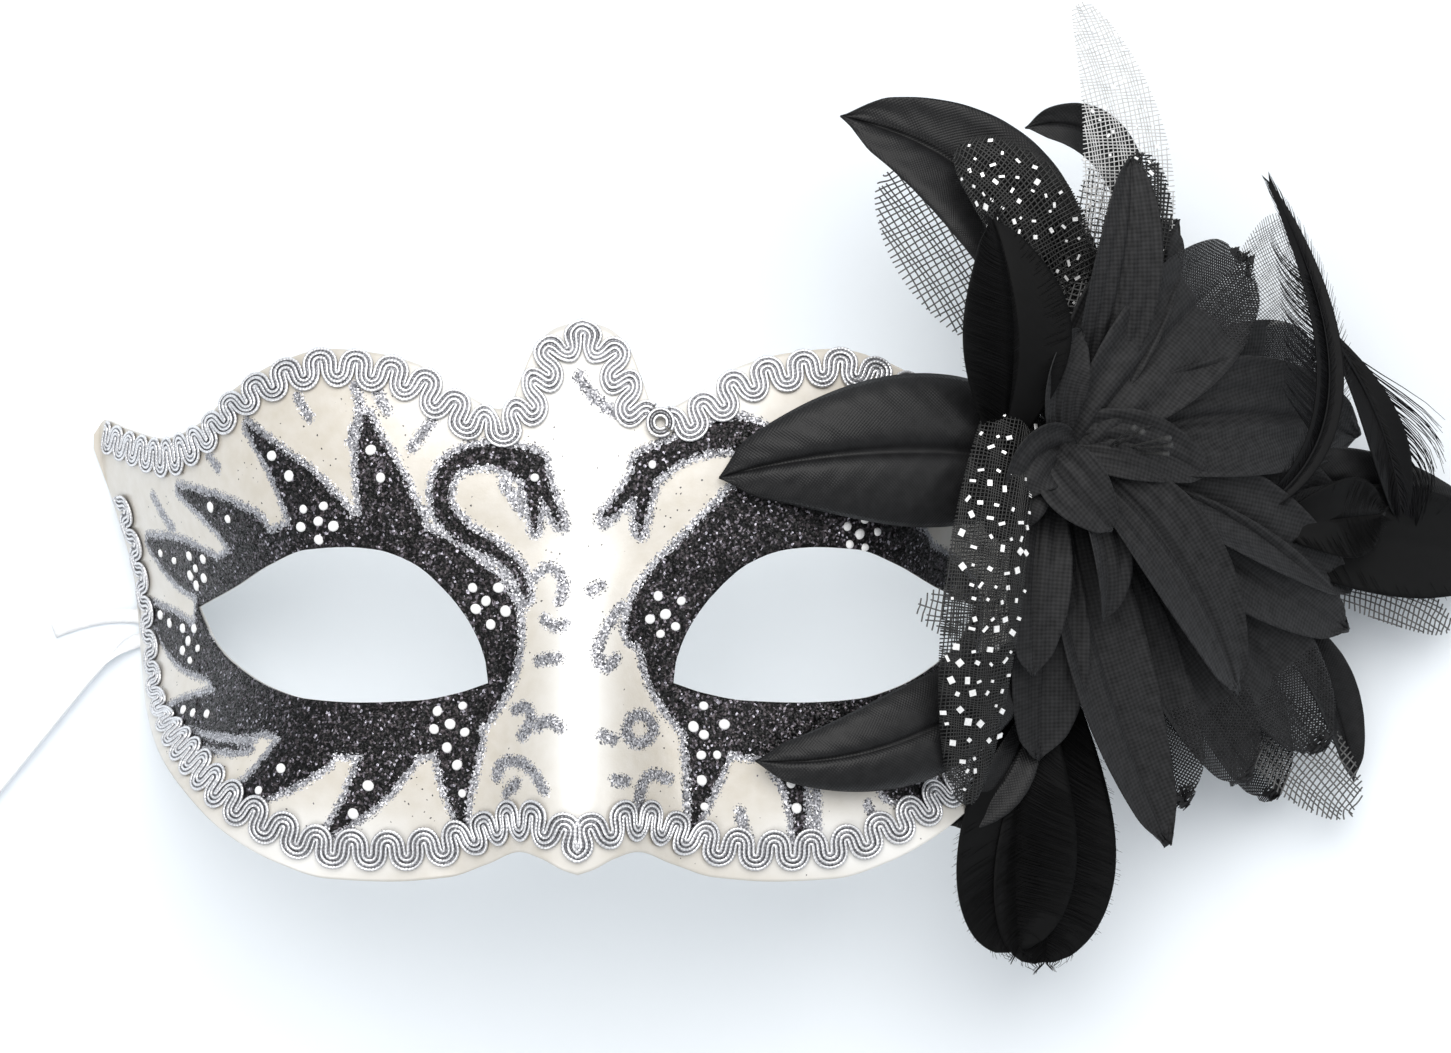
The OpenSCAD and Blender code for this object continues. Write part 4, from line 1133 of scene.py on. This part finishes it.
def barbs(name, count, reach, lean, radius, seed, start=0.06, stop=1.0, sides=(-1, 1)):
    """Tapered barbs along a feather's shaft."""
    own = np.random.default_rng(seed)
    row = ROWS[name]
    parts = []
    for side_sign in sides:
        for i in range(count):
            u0 = start + (stop - start) * (i + own.uniform(-0.3, 0.3)) / count
            u0 = min(max(u0, 0), 0.995)
            t = np.linspace(0, 1, 7)
            u = np.minimum(u0 + lean * t * (1.1 - 0.5 * u0), 1.0)
            at, way, side, over, half = spine_of(row, u)
            size = reach * own.uniform(0.86, 1.06)
            out = side * (side_sign * t * half * size)[:, None]
            cup = row[5] * row[3] * (t * size) ** 2 * (2 * half / row[3])
            extra = way * (np.maximum(u0 + lean * t - 1, 0) * 22)[:, None]
            wave = own.normal(0, 0.12) * t ** 2 * row[3] * 0.3
            path = at + out + over * (cup + wave * 0.5)[:, None] + extra
            p, f, a = tube(path, radius * (1.0 - 0.75 * t), 3)
            a["shade"] = np.full(len(p), own.uniform(0, 1))
            parts.append((p, f, a))
    return parts


def shaft(name, thick, lift=0.1):
    """A feather's tapered shaft."""
    u = np.linspace(0, 1, 40)
    at, _, _, over, _ = spine_of(ROWS[name], u)
    points, quads, attributes = tube(at + over * lift, thick * (1 - 0.85 * u), 6)
    return points, quads, {**attributes, "shade": np.full(len(points), 0.4)}


def vane(name, seed, share, edge=0.5):
    """The close part of a feather, as a thin closed sheet with a groove at its shaft."""
    def shape(u, v, width):
        return -0.012 * width * np.exp(-np.abs(v) / 0.12) + 0.07 * width * ripple(u, v, 5, seed)

    surface, cloth, _, _ = blade_surface(name, 60, 21, shape, edge)
    centre = surface[:, 10:11]
    points, quads, attributes = sheet_mesh(centre + (surface - centre) * share, VANE_T, cloth)
    return points, quads, {"shade": np.full(len(points), 0.25), "along": attributes["cloth"][:, 1],
                           "around": np.zeros(len(points))}


def goose_feather(name, seed):
    """A trimmed goose feather: a close vane whose barbs show at its edge, and a shaft."""
    parts = [vane(name, seed, 0.96, 0.8 if name == "goose_feather_upper" else 0.1), shaft(name, 0.3, -0.3)]
    parts += barbs(name, 150, 1.0, 0.12, 0.15, seed)
    piece_of(name + "_barbs", parts, GOOSE, "goose_feather", name)


def coque_feather(name, close, thick, *combs):
    """A cock's sickle feather: a slim close vane and a shaft, with combs of loose barbs."""
    parts = [close, shaft(name, thick)]
    for comb in combs:
        parts += barbs(name, *comb)
    piece_of(name + "_barbs", parts, COQUE, "coque_feather", name)


def point_on(surface, u, v):
    """Points of a surface at shares u along it and v across it."""
    rows, cols = surface.shape[:2]
    r, c = np.clip(u, 0, 1) * (rows - 1), np.clip(v, 0, 1) * (cols - 1)
    i, j = np.minimum(r.astype(int), rows - 2), np.minimum(c.astype(int), cols - 2)
    a, b = (r - i)[:, None], (c - j)[:, None]
    return ((1 - a) * (1 - b) * surface[i, j] + a * (1 - b) * surface[i + 1, j]
            + (1 - a) * b * surface[i, j + 1] + a * b * surface[i + 1, j + 1])


def cross_threads(surface, pitch, thread, slant):
    """Net threads from side to side, a pitch apart."""
    length, widths = surface_size(surface)
    widest = widths.max()
    v = np.linspace(0, 1, max(int(widest / 2.2), 4))
    strands = []
    for s in np.arange(pitch / 2, length, pitch):
        u = s / length + slant * (v - 0.5) * widest / length + 0.004 * np.sin(v * 9 + s)
        on = (u > 0) & (u < 1)
        if on.sum() > 3:
            strands.append(tube(point_on(surface, u[on], v[on]), thread, 4))
    return strands


def long_threads(surface, pitch, thread):
    """Net threads from end to end, a pitch apart, only where the cloth is wide enough for them."""
    length, widths = surface_size(surface)
    widest = widths.max()
    u = np.linspace(0, 1, max(int(length / 2.0), 6))
    half = np.interp(u, np.linspace(0, 1, len(widths)), widths) / 2
    strands = []
    for d in np.arange(-widest / 2 + pitch / 2, widest / 2, pitch):
        v = 0.5 + (d + 0.35 * np.sin(u * 7 + d)) / (2 * np.maximum(half, 0.1))
        on = (v > 0.01) & (v < 0.99)
        for run in np.split(np.arange(len(u)), np.flatnonzero(np.diff(on.astype(int))) + 1):
            if on[run[0]] and len(run) > 3:
                strands.append(tube(point_on(surface, u[run], v[run]), thread, 4))
    return strands


def lattice(surface, pitch, thread, seed):
    """Net threads both ways over a surface, as slim square tubes."""
    slant = np.random.default_rng(seed).uniform(-0.12, 0.12)
    return join_parts(cross_threads(surface, pitch, thread, slant) + long_threads(surface, pitch, thread))


BOX = np.array([(-1, -1, -1), (1, -1, -1), (1, 1, -1), (-1, 1, -1), (-1, -1, 1), (1, -1, 1), (1, 1, 1),
    (-1, 1, 1)], float)
BOX_SIDES = np.array([(3, 2, 1, 0), (4, 5, 6, 7), (0, 1, 5, 4), (1, 2, 6, 5), (2, 3, 7, 6), (3, 0, 4, 7)])
FLECK_H, FLECK_LIFT = 0.12, 0.3


def fleck(surface, i, j, size, own):
    """Corners of one fleck that lies slightly turned on a surface, at a row and a column."""
    p = surface[i, j] + own.normal(0, 0.4, 3) * vec(1, 1, 0)
    e = unit(surface[i, j + 1] - surface[i, j])
    f = unit(surface[i + 1, j] - surface[i, j])
    n = unit(np.cross(e, f))
    n = n * np.sign(n[2])
    e, f = turned(e, f, own.normal(0, 0.5))
    half = size * own.choice([0.5, 0.8, 1.15], 2) * own.uniform(0.85, 1.1, 2) / 2
    return p + n * FLECK_LIFT + (BOX * [*half, FLECK_H]) @ np.stack([e, f, n])


def flecks(surface, seed, gap, size, share):
    """Foil flecks pressed on a tulle in loose staggered rows, with a share of their places filled."""
    own = np.random.default_rng(seed)
    rows, cols = surface.shape[:2]
    length, widths = surface_size(surface)
    points = []
    for k, s in enumerate(np.arange(gap, length - 1, gap)):
        i = min(int(s / length * (rows - 1)), rows - 2)
        offset = gap / 2 if k % 2 else 0
        for d in np.arange(-widths[i] / 2 + 0.8 + offset, widths[i] / 2 - 0.6, gap):
            if own.uniform() > share:
                continue
            j = int((d / widths[i] + 0.5) * (cols - 1) + own.normal(0, 0.3))
            points.append(fleck(surface, i, min(max(j, 0), cols - 2), size, own))
    shift = len(BOX) * np.arange(len(points))[:, None, None]
    return np.concatenate(points), (BOX_SIDES + shift).reshape(-1, 4)


THREAD_R = {1: 0.16, 2: 0.22}  # radius of the threads against their pitch, for cloth of one or two layers
LAYER_GAP = 0.9


def net(name, seed, slot, material, pitch=1.25, layers=1, flecked=None):
    """Open cloth of real threads, in one or two layers, which may carry flecks of foil."""
    def shape(u, v, width):
        return 0.07 * width * ripple(u, v, 6, seed, 1.2)

    surface = blade_surface(name, 70, 25, shape, 0.2)[0]
    plies = []
    for k in range(layers):
        lowered = surface - [0, 0, LAYER_GAP * k]
        plies.append(lattice(lowered, pitch, THREAD_R[layers] * pitch, seed + 50 * k))
    points, quads, _ = join_parts(plies)
    obj = stand_for(build(name + "_mesh", points, [quads], material), slot, name)
    extra = []
    if flecked:
        points, quads = flecks(surface, seed, *flecked)
        extra = [stand_for(build(name + "_flecks", points, [quads], FOIL, smooth=False), slot)]
    declare_sheet(obj, surface, layers)


FLOWER_AT, PAD_AT = vec(102, 33, 51), (85.0, 31.0)


def calyx():
    """The taped bundle that holds the spray on its pad, with the winding showing."""
    start = on_shell(*PAD_AT, 1.5)
    t = np.linspace(0, 1, 90)
    path = start + (FLOWER_AT - start) * t[:, None]
    radius = np.interp(t, [0, 0.75, 0.97, 1], [7, 3.2, 3.4, 1.2])
    wind = 0.25 * np.abs(np.sin(t * 34))
    stems = tube(path, radius - 0.25 + wind, 32)
    return piece_of("taped_stems", [stems], TAPE, "black_floral_tape", "flower_calyx")


def stamens():
    """Thin bent wires with small knobbed tips."""
    parts = []
    for i in range(5):
        a = math.radians(20 + 12 * i)
        reach = vec(math.cos(a) * (13 + 2 * (i % 3)), math.sin(a) * 8 - 2, 13 + 1.5 * i)
        base = FLOWER_AT + reach * 0.2 + vec(0, 0, i)
        tip = FLOWER_AT + reach * 1.08
        mid = (base + tip) / 2 + vec(0, 0.8, 0.9)
        t = np.linspace(0, 1, 14)[:, None]
        path = (1 - t) ** 2 * base + 2 * t * (1 - t) * mid + t * t * tip
        size = np.where(t[:, 0] > 0.84, 0.55, 0.26)
        parts.append(tube(path, size, 8))
    piece_of("stamen_wires", parts, TAPE, "stamen_wire", "flower_stamens")


SHEER_PETALS = ["petal_05", "petal_06", "petal_07", "petal_11", "petal_15", "petal_18"]
ORGANZA = woven_cloth("black_organza", grey(0.002, 0.04), grey(0.025, 0.06), 0.6, 0.62, 0.03, 0.25)
BLACK_SATIN = woven_cloth("black_satin", grey(0.004, 0.05), grey(0.016, 0.06), 0.35, 0.38, 0.01)
GOOSE = feather_barb("goose_barb", grey(0.001), grey(0.004, 0.15), 0.6)
COQUE = feather_barb("coque_barb", grey(0.002), grey(0.008, 0.2), 0.45)
NET = thread_nylon("black_net", grey(0.06), grey(0.13))
TULLE = thread_nylon("dotted_tulle", grey(0.008), grey(0.02))
PALE_TULLE = thread_nylon("pale_tulle", grey(0.50), grey(0.72))
RUFFLE = thread_nylon("frayed_organza", grey(0.02), grey(0.34))
FOIL = foil()
TAPE = wrapped_tape()
CALYX = calyx()
stamens()
for index, entry in enumerate(BLADES):
    name = entry[0]
    if name.startswith("petal"):
        petal(name, 20 + index)
    elif name.startswith("satin"):
        satin_leaf(name, 60 + index)
    elif name.startswith("goose"):
        goose_feather(name, 90 + index)
coque_feather("coque_feather_tall", vane("coque_feather_tall", 5, 0.62), 0.45,
              (130, 0.95, 0.10, 0.14, 5, 0.02), (64, 3.0, 0.16, 0.2, 6, 0.34, 0.80, (-1,)))
coque_feather("coque_feather_right", vane("coque_feather_right", 7, 0.5), 0.5,
              (120, 0.42, 0.14, 0.14, 7, 0.02, 1.0, (1,)), (52, 1.35, 0.55, 0.22, 8, 0.02, 0.9, (-1,)))
net("net_top", 11, "dotted_tulle", PALE_TULLE, 0.85, flecked=(3.4, 0.7, 0.7))
for k, part in enumerate(["upper_left", "upper_mid", "right", "lower_right", "eye_corner"]):
    net("net_" + part, 12 + k, "black_net", NET)
net("organza_ruffle", 21, "black_organza", RUFFLE, 0.62)
net("dotted_tulle_sash", 22, "dotted_tulle", TULLE, 0.65, 2, (3.3, 1.15, 0.85))
net("dotted_tulle_leaf", 23, "dotted_tulle", TULLE, 0.9, 2, (3.3, 1.0, 0.9))
net("dotted_tulle_top", 24, "dotted_tulle", TULLE, 0.9, 2, (3.0, 0.85, 0.8))
